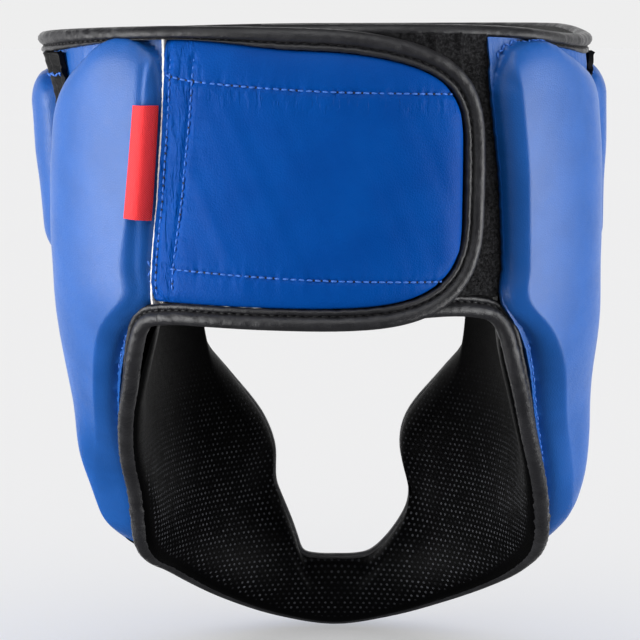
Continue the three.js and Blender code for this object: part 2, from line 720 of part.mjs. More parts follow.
/** Pad across the chin, between the two cheek pads. */
function chinPad() {
  const half = (side) => {
    const edge = faceEdgeCurve(CHEEK_EDGE, side, FACE_INSET);
    const part = partOf(edge, chinSeamShare(edge) + CHIN_SEAM.gapShare, 1);
    return placesOn(part, fractions(5, 0));
  };
  const rightHalf = half('right').map((place) => ({ angle: place.angle - FULL_TURN, z: place.z }));
  const high = unrolledCurve([...half('left'), ...rightHalf.reverse().slice(1)]);
  const lowStart = -(CHIN_SEAM.lowAngle + CHIN_SEAM.gapAngle);
  const low = unrolledCurve(fractions(6, 0).map((t) => {
    const angle = THREE.MathUtils.lerp(lowStart, -FULL_TURN - lowStart, t);
    return { angle, z: neckHeight(angle, WALL_INSET) };
  }));
  const sizes = PADS.chin_pad;
  const surface = padSurface(high, low, sizes, evenHeight(sizes));
  const geometry = patchShell(CELLS.chin_pad, surface.outer, surface.inner);
  return piece('chin_pad', geometry, BLUE, 0.45);
}

/** Blue leather strap across the back, inside its binding. */
function closureStrap() {
  const firstAngle = STRAP_OUTLINE[0].angle;
  const lastAngle = STRAP_OUTLINE.at(-1).angle;
  const seamShift = (z) => lookUp(REAR_SEAM, 'z', z, 'left') - REAR_SEAM[1].left;
  const placeAt = (s, t) => {
    const angle = THREE.MathUtils.lerp(firstAngle, lastAngle, s);
    const top = lookUp(STRAP_OUTLINE, 'angle', angle, 'top');
    const bottom = lookUp(STRAP_OUTLINE, 'angle', angle, 'bottom');
    const z = THREE.MathUtils.lerp(bottom, top, t);
    const shift = (seamShift(z) + SEAM_EDGE_WIDTH / MM_PER_DEGREE) * (1 - s);
    return { angle: angle + shift, z, span: top - bottom };
  };
  const outerAt = (s, t) => {
    const place = placeAt(s, t);
    const fromEdge = Math.min(t, 1 - t) * place.span;
    const q = Math.max(0, 1 - fromEdge / STRAP_ROUND);
    const crown = Math.sqrt(1 - q * q);
    const height = STRAP_EDGE + (STRAP_THICKNESS - STRAP_EDGE) * crown;
    return wallPoint(place.angle, place.z, CLEARANCE + height);
  };
  const innerAt = (s, t) => {
    const place = placeAt(s, t);
    return wallPoint(place.angle, place.z, CLEARANCE);
  };
  const geometry = patchShell(CELLS.closure_strap, outerAt, innerAt);
  return piece('closure_strap', geometry, BLUE, 0.42);
}

/** Path of the strap's outline from its sewn end round the tip and back, moved outwards. */
function strapOutlinePath(outset) {
  const [sewnEnd, ...rows] = STRAP_OUTLINE;
  const beside = (z) => unrolled(lookUp(REAR_SEAM, 'z', z, 'left') + STRAP_BINDING_START, z);
  const outline = new THREE.SplineCurve([
    beside(sewnEnd.top),
    ...rows.map((row) => unrolled(row.angle, row.top)),
    ...rows.map((row) => unrolled(row.angle, row.bottom)).reverse(),
    beside(sewnEnd.bottom),
  ]);
  return fractions(STRAP_BINDING_CELLS, 0).map((t) => {
    const tangent = outline.getTangentAt(t);
    const outwards = new THREE.Vector2(-tangent.y, tangent.x).multiplyScalar(outset);
    const spot = outline.getPointAt(t).add(outwards);
    return { angle: spot.x / MM_PER_DEGREE, z: spot.y };
  });
}

/** Black binding along the strap's top, tip and bottom edges. */
function strapBinding() {
  const middle = CLEARANCE + BINDING_THICKNESS / 2;
  const places = strapOutlinePath(CLEARANCE + BINDING_WIDTH / 2)
    .map((place) => ({ ...place, offset: middle + CLEARANCE }));
  const geometry = sweptBand(wallFrames(places, false), BINDING_WIDTH, BINDING_THICKNESS, false);
  return piece('strap_binding', geometry, BLACK, 0.4);
}

/** Black loop tape on the right rear flap, running in under the strap. */
function loopPatch() {
  const topZ = RIM_EDGE - CLEARANCE;
  const lowZ = neckHeight(20, WALL_INSET) + CLEARANCE;
  const placeAt = (s, t) => {
    const z = THREE.MathUtils.lerp(lowZ, topZ, t);
    const seam = lookUp(REAR_SEAM, 'z', z, 'right') + LOOP_PATCH_TUCK;
    return { angle: THREE.MathUtils.lerp(LOOP_PATCH_FREE_ANGLE, seam, s), z };
  };
  const skin = (offset) => (s, t) => {
    const place = placeAt(s, t);
    return wallPoint(place.angle, place.z, offset);
  };
  const geometry = patchShell(CELLS.loop_patch,
    skin(-CLEARANCE), skin(-CLEARANCE - LOOP_PATCH_THICKNESS));
  return piece('loop_patch', geometry, TAPE_BLACK, 0.95);
}

/** Pale cut edge of the leather, standing in the seam beside the strap's sewn end. */
function seamEdge() {
  const first = STRAP_OUTLINE[0];
  const placeAt = (s, t) => {
    const z = THREE.MathUtils.lerp(first.bottom, first.top, s);
    const seam = lookUp(REAR_SEAM, 'z', z, 'left') + CLEARANCE / MM_PER_DEGREE;
    return { angle: seam + t * (SEAM_EDGE_WIDTH - 2 * CLEARANCE) / MM_PER_DEGREE, z };
  };
  const skin = (offset) => (s, t) => {
    const place = placeAt(s, t);
    return wallPoint(place.angle, place.z, offset);
  };
  const geometry = patchShell(CELLS.seam_edge,
    skin(CLEARANCE + SEAM_EDGE_HEIGHT), skin(CLEARANCE));
  return piece('seam_edge', geometry, PALE, 0.6);
}

/** Bare red tab that is caught in the seam and lies on the flank of the left rear pad. */
function labelTab() {
  const surface = rearPadSurface('left');
  const length = rearPadEdge('left').getLength();
  const topShare = (RIM_EDGE - LABEL_TOP) / length;
  const share = (s) => topShare + s * LABEL_HEIGHT / length;
  const lifted = (lift) => (s, t) => (
    surface.outer(share(s), LABEL_ROOT + t * (LABEL_REACH - LABEL_ROOT), lift));
  const geometry = patchShell(CELLS.label_tab,
    lifted(LABEL_LIFT + LABEL_THICKNESS), lifted(LABEL_LIFT));
  return piece('label_tab', geometry, RED, 0.75);
}

/** Steps along an angular path, from one angle to another. */
function angleSteps(from, to) {
  const count = Math.ceil(Math.abs(to - from) * BINDING_STEPS_PER_DEGREE);
  return fractions(count, 0).map((t) => THREE.MathUtils.lerp(from, to, t));
}

/** How far a bound edge of the right flap sinks to pass under the strap. */
function sinkUnderStrap(angle) {
  const turn = wrapAngle(angle);
  const isFlap = turn > LOOP_PATCH_FREE_ANGLE - 1 && turn < FLAP_SINK.angle;
  const share = isFlap ? THREE.MathUtils.smoothstep(FLAP_SINK.angle - turn, 0, FLAP_SINK.over) : 0;
  return UNDER_STRAP_OFFSET * share;
}

/** Black binding round the crown opening, from the strap's sewn end to the flap's free end. */
function rimBinding() {
  const start = lookUp(REAR_SEAM, 'z', REAR_SEAM[0].z, 'left') - BINDING_END_LAP;
  const places = angleSteps(start, LOOP_PATCH_FREE_ANGLE - FULL_TURN).map((angle) => (
    { angle, z: rimHeight(angle, BINDING_WIDTH / 2), offset: sinkUnderStrap(angle) }));
  const geometry = sweptBand(wallFrames(places, false), BINDING_WIDTH, BINDING_THICKNESS, false);
  return piece('rim_binding', geometry, BLACK, 0.4);
}

/** Black binding round the neck opening, along the jaw and under the chin. */
function neckBinding() {
  const start = lookUp(REAR_SEAM, 'z', REAR_SEAM.at(-1).z, 'left') - BINDING_END_LAP;
  const places = angleSteps(start, LOOP_PATCH_FREE_ANGLE - FULL_TURN).map((angle) => (
    { angle, z: neckHeight(angle, BINDING_WIDTH / 2), offset: sinkUnderStrap(angle) }));
  const geometry = sweptBand(wallFrames(places, false), BINDING_WIDTH, BINDING_THICKNESS, false);
  return piece('neck_binding', geometry, BLACK, 0.4);
}

/** Black binding all round the face opening. */
function faceBinding() {
  const half = FACE_BINDING_WIDTH / 2;
  const sidePlaces = (side, turn) => {
    const cheek = faceEdgeCurve(CHEEK_EDGE, side, half);
    const brow = faceEdgeCurve(BROW_EDGE, side, half);
    const places = (curve, count) => placesOn(curve, fractions(count, 0))
      .map((place) => ({ angle: place.angle + turn, z: place.z }));
    const { brow: browCells, cheek: cheekCells } = FACE_BINDING_CELLS;
    return [...places(brow, browCells), ...places(cheek, cheekCells).slice(1)];
  };
  const left = sidePlaces('left', 0);
  const right = sidePlaces('right', -FULL_TURN).reverse();
  const geometry = sweptBand(wallFrames([...left, ...right.slice(1, -1)], true),
    FACE_BINDING_WIDTH, BINDING_THICKNESS, true);
  return piece('face_binding', geometry, BLACK, 0.4);
}

const headGuard = new THREE.Group();
headGuard.name = 'head_guard';
headGuard.add(lining(), browPad(), chinPad());
for (const side of ['left', 'right']) {
  headGuard.add(rearPad(side), gusset(side), cheekPad(side));
}
headGuard.add(closureStrap(), strapBinding(), loopPatch(), seamEdge(), labelTab());
headGuard.add(rimBinding(), neckBinding(), faceBinding());

export default headGuard;
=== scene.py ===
"""Looks of a padded leather head guard, built over its CAD frame.

The guard is worn on the head: a soft ring of pads round an open crown, closed
behind by a wide strap. Lengths inside this file are millimetres on the head's
wall, and every mesh is written in metres in the frame's axes: +Z up, the face
towards +Y, the wearer's right towards +X. Angles go round the head from 0 at
the nape, through +90 at the right ear, to 180 at the face.
"""

import logging
import math
from dataclasses import dataclass, field
from enum import Enum
from typing import Callable, NamedTuple, Sequence

import bpy
import numpy as np
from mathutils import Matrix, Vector

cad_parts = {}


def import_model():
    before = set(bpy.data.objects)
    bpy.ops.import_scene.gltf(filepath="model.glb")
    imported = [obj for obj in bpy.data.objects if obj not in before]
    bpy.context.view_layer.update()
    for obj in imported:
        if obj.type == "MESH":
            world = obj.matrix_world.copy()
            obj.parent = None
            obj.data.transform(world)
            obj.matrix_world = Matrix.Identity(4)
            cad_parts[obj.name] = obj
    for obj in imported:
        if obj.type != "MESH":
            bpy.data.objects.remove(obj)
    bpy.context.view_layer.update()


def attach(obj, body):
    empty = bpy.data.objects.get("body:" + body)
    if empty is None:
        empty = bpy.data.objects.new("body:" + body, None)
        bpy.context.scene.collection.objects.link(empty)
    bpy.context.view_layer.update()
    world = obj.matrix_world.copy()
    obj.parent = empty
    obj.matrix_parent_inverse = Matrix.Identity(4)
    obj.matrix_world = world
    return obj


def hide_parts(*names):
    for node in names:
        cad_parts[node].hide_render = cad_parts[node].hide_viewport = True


LOG = logging.getLogger("head_guard")

Array = np.ndarray
Surface = Callable[[Array, Array], Array]
Colour = tuple[float, float, float]
Place = tuple[float, float, float]

MM = 0.001
FULL_TURN = 360.0
PLAN_POWER = 2.25
MM_PER_DEGREE = 1.7
CLEARANCE = 0.3
TAPE_WIDTH = 8.0
HALF_TAPE = TAPE_WIDTH / 2
WALL_INSET = TAPE_WIDTH + CLEARANCE
FACE_TAPE_WIDTH = 6.0
FACE_INSET = FACE_TAPE_WIDTH + 2 * CLEARANCE
BROW_INSET = 7.5
GUSSET_WIDTH = 11.0
BESIDE_GUSSET = GUSSET_WIDTH / 2 + 0.9
GUSSET_END_INSET = 8.6
GUSSET_END_GUESS = -200.0
GUSSET_TOP_ANGLE = 95.0
REAR_SEAM_SPAN = (-8.3, -104.0)
JAW_SPAN = (47, 121)
FLAP_FREE_ANGLE = -14.0
STITCH_SEED = 7
BACKWARD = np.array([0.0, -1.0, 0.0])


class Side(Enum):
    """The wearer's left or right."""

    LEFT = "left"
    RIGHT = "right"

    @property
    def sign(self) -> int:
        """-1 on the left and +1 on the right."""
        return -1 if self is Side.LEFT else 1


class Slot(Enum):
    """The record's material slots."""

    LINING = "lining"
    PAD = "pad_leather"
    STRAP = "strap_leather"
    BINDING = "binding"
    GUSSET = "gusset"
    LOOP = "loop_tape"
    CUT_EDGE = "cut_edge"
    LABEL = "label"


class Level(NamedTuple):
    """Half widths of the head's plan at one height."""

    z: float
    left: float
    right: float
    front: float
    back: float


class RimPoint(NamedTuple):
    """Height of the crown's edge at one angle."""

    angle: float
    z: float


class NeckPoint(NamedTuple):
    """Height of the lower edge at one angle from the nape."""

    angle: float
    left: float
    right: float


class OpeningPoint(NamedTuple):
    """Half widths of the face opening at one height."""

    left: float
    right: float
    z: float


class SeamPoint(NamedTuple):
    """Angles of an upright seam at one height."""

    z: float
    left: float
    right: float


class StrapPoint(NamedTuple):
    """Upper and lower edge of the strap at one angle."""

    angle: float
    top: float
    bottom: float


WALL_LEVELS = (
    Level(8, 117, 102, 112, 103),
    Level(-6, 114, 101.5, 112, 103),
    Level(-30, 107, 100, 112, 103),
    Level(-60, 104, 99, 112, 103),
    Level(-110, 97, 95.5, 111, 101),
    Level(-154, 85.5, 86, 109, 97),
    Level(-190, 81, 86, 106, 93),
    Level(-220, 81, 87, 103, 90),
    Level(-275, 77, 82, 99, 88),
)
HOLLOW_LEVELS = (
    Level(8, 83, 79, 94, 98),
    Level(-110, 80, 79, 95, 97),
    Level(-154, 76, 78, 95, 92),
    Level(-205, 72.5, 78, 92, 88),
    Level(-275, 68, 73, 88, 84),
)
RIM_HEIGHT = (
    RimPoint(-180, 0.5),
    RimPoint(-95, -3),
    RimPoint(-40, -1),
    RimPoint(0, 0),
    RimPoint(36, -0.5),
    RimPoint(62, -3.5),
    RimPoint(95, -2.2),
    RimPoint(118, 0.4),
    RimPoint(180, 0.5),
)
NECK_HEIGHT = (
    NeckPoint(0, -112, -112),
    NeckPoint(38, -113, -111),
    NeckPoint(45, -128, -131),
    NeckPoint(52, -142, -147),
    NeckPoint(60, -154, -163),
    NeckPoint(70, -168, -180),
    NeckPoint(80, -179.5, -196),
    NeckPoint(90, -191, -209),
    NeckPoint(97, -204, -215.5),
    NeckPoint(104, -218, -221.5),
    NeckPoint(114, -227.5, -229),
    NeckPoint(128, -236, -239.5),
    NeckPoint(150, -254, -255),
    NeckPoint(165, -264, -264),
    NeckPoint(180, -268.5, -268.5),
)
BROW_EDGE = (
    OpeningPoint(0, 0, -79),
    OpeningPoint(32, 32, -80),
    OpeningPoint(58, 58, -85),
    OpeningPoint(71, 71, -98),
)
CHEEK_EDGE = (
    OpeningPoint(71, 71, -99),
    OpeningPoint(69, 69, -117),
    OpeningPoint(62, 62.5, -133),
    OpeningPoint(47.5, 47.5, -152),
    OpeningPoint(33, 32.5, -171),
    OpeningPoint(26.5, 28.8, -187),
    OpeningPoint(26.3, 32.6, -202),
    OpeningPoint(22.5, 32.6, -212),
    OpeningPoint(17, 24.5, -226),
    OpeningPoint(14.6, 15.8, -234.5),
    OpeningPoint(9, 9, -236.3),
    OpeningPoint(0, 0, -236.5),
)
REAR_SEAM = (
    SeamPoint(-6, -32.2, 34),
    SeamPoint(-60, -34, 37.4),
    SeamPoint(-104, -36.8, 39.2),
)
GUSSET_LINE = (
    SeamPoint(-8, -79, 90),
    SeamPoint(-60, -82, 93),
    SeamPoint(-110, -92, 99),
    SeamPoint(-165, -106, 108),
    SeamPoint(-205, -118, 119),
    SeamPoint(-232, -130, 130),
)
STRAP_OUTLINE = (
    StrapPoint(-33.5, -9, -103.5),
    StrapPoint(-10, -9.5, -104.3),
    StrapPoint(4, -10.6, -104.4),
    StrapPoint(13.5, -13.5, -103),
    StrapPoint(20, -17.5, -99.5),
    StrapPoint(24.3, -23, -93.5),
    StrapPoint(26.8, -31, -85),
    StrapPoint(27.7, -41, -75),
)


# ---------------------------------------------------------------- wall shapes


def lerp(start: Array | float, end: Array | float, share: Array | float) -> Array:
    """Value part of the way from start to end."""
    return start + (end - start) * share


def smoothstep(value: Array | float, low: float, high: float) -> Array:
    """0 below low, 1 above high and an eased rise between."""
    share = np.clip((np.asarray(value, float) - low) / (high - low), 0.0, 1.0)
    return share * share * (3 - 2 * share)


def ease(share: Array, crowd: float) -> Array:
    """Even shares drawn towards both ends, as finer rows at the edges."""
    return share + (0.5 * (1 - np.cos(np.pi * share)) - share) * crowd


def ripple(value: Array | float, seed: float) -> Array:
    """Uneven waves about 0 of roughly unit height and unit length.

    Args:
        value: Place along the waves, in wave lengths.
        seed: Any number; each gives other waves.

    Returns:
        Heights between about -1 and 1.
    """
    turn = np.asarray(value, float) * 2 * np.pi
    return (
        0.45 * np.sin(turn + seed * 1.7)
        + 0.30 * np.sin(turn * 0.57 + seed * 4.1)
        + 0.25 * np.sin(turn * 1.73 + seed * 2.9)
        + 0.15 * np.sin(turn * 2.61 + seed * 5.3)
    )


def unit(vectors: Array) -> Array:
    """The same directions, one unit long."""
    return vectors / np.linalg.norm(vectors, axis=-1, keepdims=True)


def walked_along(points: Array) -> Array:
    """Distance walked to each of a row of points."""
    steps = np.linalg.norm(np.diff(points, axis=0), axis=1)
    return np.concatenate([[0.0], np.cumsum(steps)])


def between(at: Array, keys: Array, values: Array) -> Array:
    """Rows of values, read between their keys."""
    return np.stack([np.interp(at, keys, column) for column in values.T], axis=-1)


class SmoothColumn:
    """One column of a table, read smoothly at any key and held level past its ends."""

    def __init__(self, rows: Sequence[NamedTuple], key: str, column: str) -> None:
        pairs = sorted((getattr(row, key), getattr(row, column)) for row in rows)
        self._keys, self._values = np.array(pairs, float).T
        self._slopes = np.zeros_like(self._values)
        self._slopes[1:-1] = (self._values[2:] - self._values[:-2]) / (
            self._keys[2:] - self._keys[:-2]
        )

    def __call__(self, at: Array | float) -> Array:
        """Value at each key, along cubic pieces."""
        keys, values, slopes = self._keys, self._values, self._slopes
        at = np.clip(np.asarray(at, float), keys[0], keys[-1])
        low = np.clip(np.searchsorted(keys, at, side="right") - 1, 0, len(keys) - 2)
        span = keys[low + 1] - keys[low]
        t = (at - keys[low]) / span
        return (
            values[low] * (2 * t**3 - 3 * t**2 + 1)
            + slopes[low] * span * (t**3 - 2 * t**2 + t)
            + values[low + 1] * (3 * t**2 - 2 * t**3)
            + slopes[low + 1] * span * (t**3 - t**2)
        )


class Spread(NamedTuple):
    """A size at one share of an edge."""

    share: float
    size: float


def spread(*pairs: tuple[float, float]) -> SmoothColumn:
    """Smooth sizes along an edge from pairs of share and size."""
    return SmoothColumn([Spread(*pair) for pair in pairs], "share", "size")


def steady(size: float) -> SmoothColumn:
    """One size all along an edge."""
    return spread((0, size), (1, size))


class WallCurve:
    """Smooth curve on the unrolled wall, walked by its length."""

    SPAN_STEPS = 24

    def __init__(self, places: Array) -> None:
        """Takes rows of angle and height that the curve goes through."""
        flat = np.asarray(places, float) * (MM_PER_DEGREE, 1.0)
        ends = np.vstack([flat[:1], flat, flat[-1:]])
        share = np.linspace(0, 1, self.SPAN_STEPS, endpoint=False)[:, None]
        spans = []
        for before, start, end, after in zip(ends, ends[1:], ends[2:], ends[3:]):
            leave, arrive = (end - before) / 2, (after - start) / 2
            spans.append(
                (2 * start - 2 * end + leave + arrive) * share**3
                + (3 * end - 3 * start - 2 * leave - arrive) * share**2
                + leave * share
                + start
            )
        self._flat = np.vstack([*spans, flat[-1:]])
        self._walked = walked_along(self._flat)

    @property
    def length(self) -> float:
        """Length on the unrolled wall."""
        return float(self._walked[-1])

    def flat(self, share: Array) -> Array:
        """Unrolled places at shares of the length."""
        walk = np.clip(np.asarray(share, float), 0, 1) * self.length
        return between(walk, self._walked, self._flat)

    def at(self, share: Array) -> tuple[Array, Array]:
        """Angles and heights at shares of the length."""
        flat = self.flat(share)
        return flat[..., 0] / MM_PER_DEGREE, flat[..., 1]

    def share_at_height(self, z: float) -> float:
        """Share of the length at which the curve first passes a height."""
        share = np.linspace(0, 1, 800)
        return float(share[np.argmin(np.abs(self.flat(share)[:, 1] - z))])


class HeadWall:
    """The wall that the pads are sewn to, with all of its edges and seams."""

    def __init__(self) -> None:
        sides = ("left", "right", "front", "back")
        self._outer = {name: SmoothColumn(WALL_LEVELS, "z", name) for name in sides}
        self._hollow = {name: SmoothColumn(HOLLOW_LEVELS, "z", name) for name in sides}
        self._rim = SmoothColumn(RIM_HEIGHT, "angle", "z")
        self._neck = {s: SmoothColumn(NECK_HEIGHT, "angle", s.value) for s in Side}
        self._seam = {s: SmoothColumn(REAR_SEAM, "z", s.value) for s in Side}
        self._gusset = {s: SmoothColumn(GUSSET_LINE, "z", s.value) for s in Side}
        self.strap_top = SmoothColumn(STRAP_OUTLINE, "angle", "top")
        self.strap_bottom = SmoothColumn(STRAP_OUTLINE, "angle", "bottom")

    @staticmethod
    def wrapped(angle: Array | float) -> Array:
        """The same angle between -180 and 180."""
        return (np.asarray(angle, float) + 180) % FULL_TURN - 180

    @staticmethod
    def _plan(reach: dict[str, SmoothColumn], angle: Array, z: Array) -> Array:
        angle, z = np.broadcast_arrays(np.asarray(angle, float), np.asarray(z, float))
        dx, dy = np.sin(np.radians(angle)), -np.cos(np.radians(angle))
        half_x = np.where(dx < 0, reach["left"](z), reach["right"](z))
        half_y = np.where(dy < 0, reach["back"](z), reach["front"](z))
        far = (np.abs(dx) / half_x) ** PLAN_POWER + (np.abs(dy) / half_y) ** PLAN_POWER
        far = far ** (-1 / PLAN_POWER)
        return np.stack([dx * far, dy * far, z], axis=-1)

    def _degree(self, angle: Array, z: Array) -> Array:
        """Step along the wall over one degree."""
        angle = np.asarray(angle, float)
        return self._plan(self._outer, angle + 0.5, z) - self._plan(self._outer, angle - 0.5, z)

    def normal(self, angle: Array, z: Array) -> Array:
        """Level direction that points straight out of the wall."""
        step = self._degree(angle, z)
        return unit(np.stack([step[..., 1], -step[..., 0], np.zeros_like(step[..., 0])], -1))

    def at(self, angle: Array, z: Array, offset: Array | float = 0.0) -> Array:
        """Points that stand off the wall by an offset."""
        out = self.normal(angle, z)
        return self._plan(self._outer, angle, z) + out * np.asarray(offset)[..., None]

    def hollow_depth(self, angle: Array, z: Array) -> Array:
        """Distance from the wall in to the hollow that the head fills."""
        outer = np.linalg.norm(self._plan(self._outer, angle, z)[..., :2], axis=-1)
        inner = np.linalg.norm(self._plan(self._hollow, angle, z)[..., :2], axis=-1)
        return outer - inner

    def arc_per_degree(self, angle: Array, z: Array) -> Array:
        """Length of one degree along the wall."""
        return np.linalg.norm(self._degree(angle, z), axis=-1)

    def rim(self, angle: Array | float, inset: float = 0.0) -> Array:
        """Height of the crown's edge, or of a line below it."""
        return self._rim(self.wrapped(angle)) - inset

    def _neck_edge(self, angle: Array) -> Array:
        turn = self.wrapped(angle)
        left = self._neck[Side.LEFT](np.abs(turn))
        right = self._neck[Side.RIGHT](np.abs(turn))
        return np.where(turn < 0, left, right)

    def neck(self, angle: Array | float, inset: float = 0.0) -> Array:
        """Height of the lower edge, or of a line that keeps a distance above it."""
        angle = np.asarray(angle, float)
        reach = inset / self.arc_per_degree(angle, self._neck_edge(angle))
        share = np.linspace(-1, 1, 21)
        lines = self._neck_edge(angle[..., None] + share * reach[..., None])
        return (lines + inset * np.sqrt(1 - share**2)).max(axis=-1)

    def seam(self, side: Side, z: Array | float) -> Array:
        """Angle of the seam between a rear pad and the closure."""
        return self._seam[side](z)

    def gusset(self, side: Side, z: Array | float) -> Array:
        """Angle of the middle of a gusset."""
        return self._gusset[side](z)

    @property
    def gusset_top(self) -> float:
        """Height of the gussets' upper ends."""
        return float(self.rim(GUSSET_TOP_ANGLE, WALL_INSET))

    def front_angle(self, half: float, z: float, side: Side) -> float:
        """Angle of a point of the front wall at a distance from the middle."""
        half_x, half_y = float(self._outer[side.value](z)), float(self._outer["front"](z))
        depth = half_y * max(0.0, 1 - (half / half_x) ** PLAN_POWER) ** (1 / PLAN_POWER)
        return side.sign * (180 - math.degrees(math.atan2(half, depth)))

    def opening(self, rows: Sequence[OpeningPoint], side: Side, inset: float) -> WallCurve:
        """One half of an edge of the face opening, kept a distance from it.

        Args:
            rows: Table of the edge.
            side: Half of the face.
            inset: Distance into the leather.

        Returns:
            The curve, from the table's first row to its last.
        """
        places = [
            (self.front_angle(getattr(row, side.value), row.z, side), row.z)
            for row in rows
        ]
        if rows[0].left == 0:
            places[0] = (side.sign * 180.0, rows[0].z)
        edge = WallCurve(np.array(places))
        share = np.linspace(0, 1, 2 * len(rows) + 1)
        along = unit(edge.flat(share + 1e-3) - edge.flat(share - 1e-3))
        inward = np.stack([along[:, 1], -along[:, 0]], 1) * side.sign
        moved = edge.flat(share) + inward * inset
        middle = 0 if rows[0].left == 0 else -1
        moved[middle, 0] = side.sign * 180.0 * MM_PER_DEGREE
        return WallCurve(moved / (MM_PER_DEGREE, 1.0))

    def gusset_edge(self, side: Side, from_middle: float, top: float) -> WallCurve:
        """Line beside a gusset, from the crown to the lower edge.

        Args:
            side: The wearer's side.
            from_middle: Distance from the gusset's middle, towards the face if positive.
            top: Height of the upper end.

        Returns:
            The curve, from the top down.
        """
        turn = side.sign * from_middle / MM_PER_DEGREE
        low = GUSSET_END_GUESS
        for _ in range(12):
            low = float(self.neck(float(self.gusset(side, low)) + turn, GUSSET_END_INSET))
        z = np.linspace(top, low, 13)
        angle = self.gusset(side, z) + turn
        return WallCurve(np.stack([angle, np.minimum(z, self.rim(angle, WALL_INSET))], 1))

    def rear_edge(self, side: Side) -> WallCurve:
        """Inner edge of a rear pad, down the closure's seam and along the jaw."""
        seam_z = lerp(*REAR_SEAM_SPAN, ease(np.linspace(0, 1, 7), 0.3))
        seam = self.seam(side, seam_z) + side.sign * CLEARANCE / MM_PER_DEGREE
        jaw = side.sign * np.linspace(*JAW_SPAN, 7)
        angles = np.concatenate([seam, jaw])
        heights = np.concatenate([seam_z, self.neck(jaw, WALL_INSET)])
        return WallCurve(np.stack([angles, heights], 1))


@dataclass(frozen=True)
class PadShape:
    """How full a pad stands over its seams.

    Each height and rounding goes along the pad, from its start to its end.
    """

    first_height: SmoothColumn
    middle_height: SmoothColumn
    second_height: SmoothColumn
    first_round: SmoothColumn
    second_round: SmoothColumn
    start_round: float
    end_round: float
    base: float = 1.3
    power: float = 2.1
    ridge: float = 2.1
    welt: tuple[float, float] = (6.0, 0.0)
    tucked: float = 0.0
    overhang: float = 0.8
    arch: float = 0.0
    arch_lean: float = 1.0
    foot: SmoothColumn = steady(0)
    second_foot: SmoothColumn = steady(0)
    start_foot: SmoothColumn = steady(0)
    pucker: float = 0.35
    pucker_pitch: float = 5.0
    seed: float = 1.0


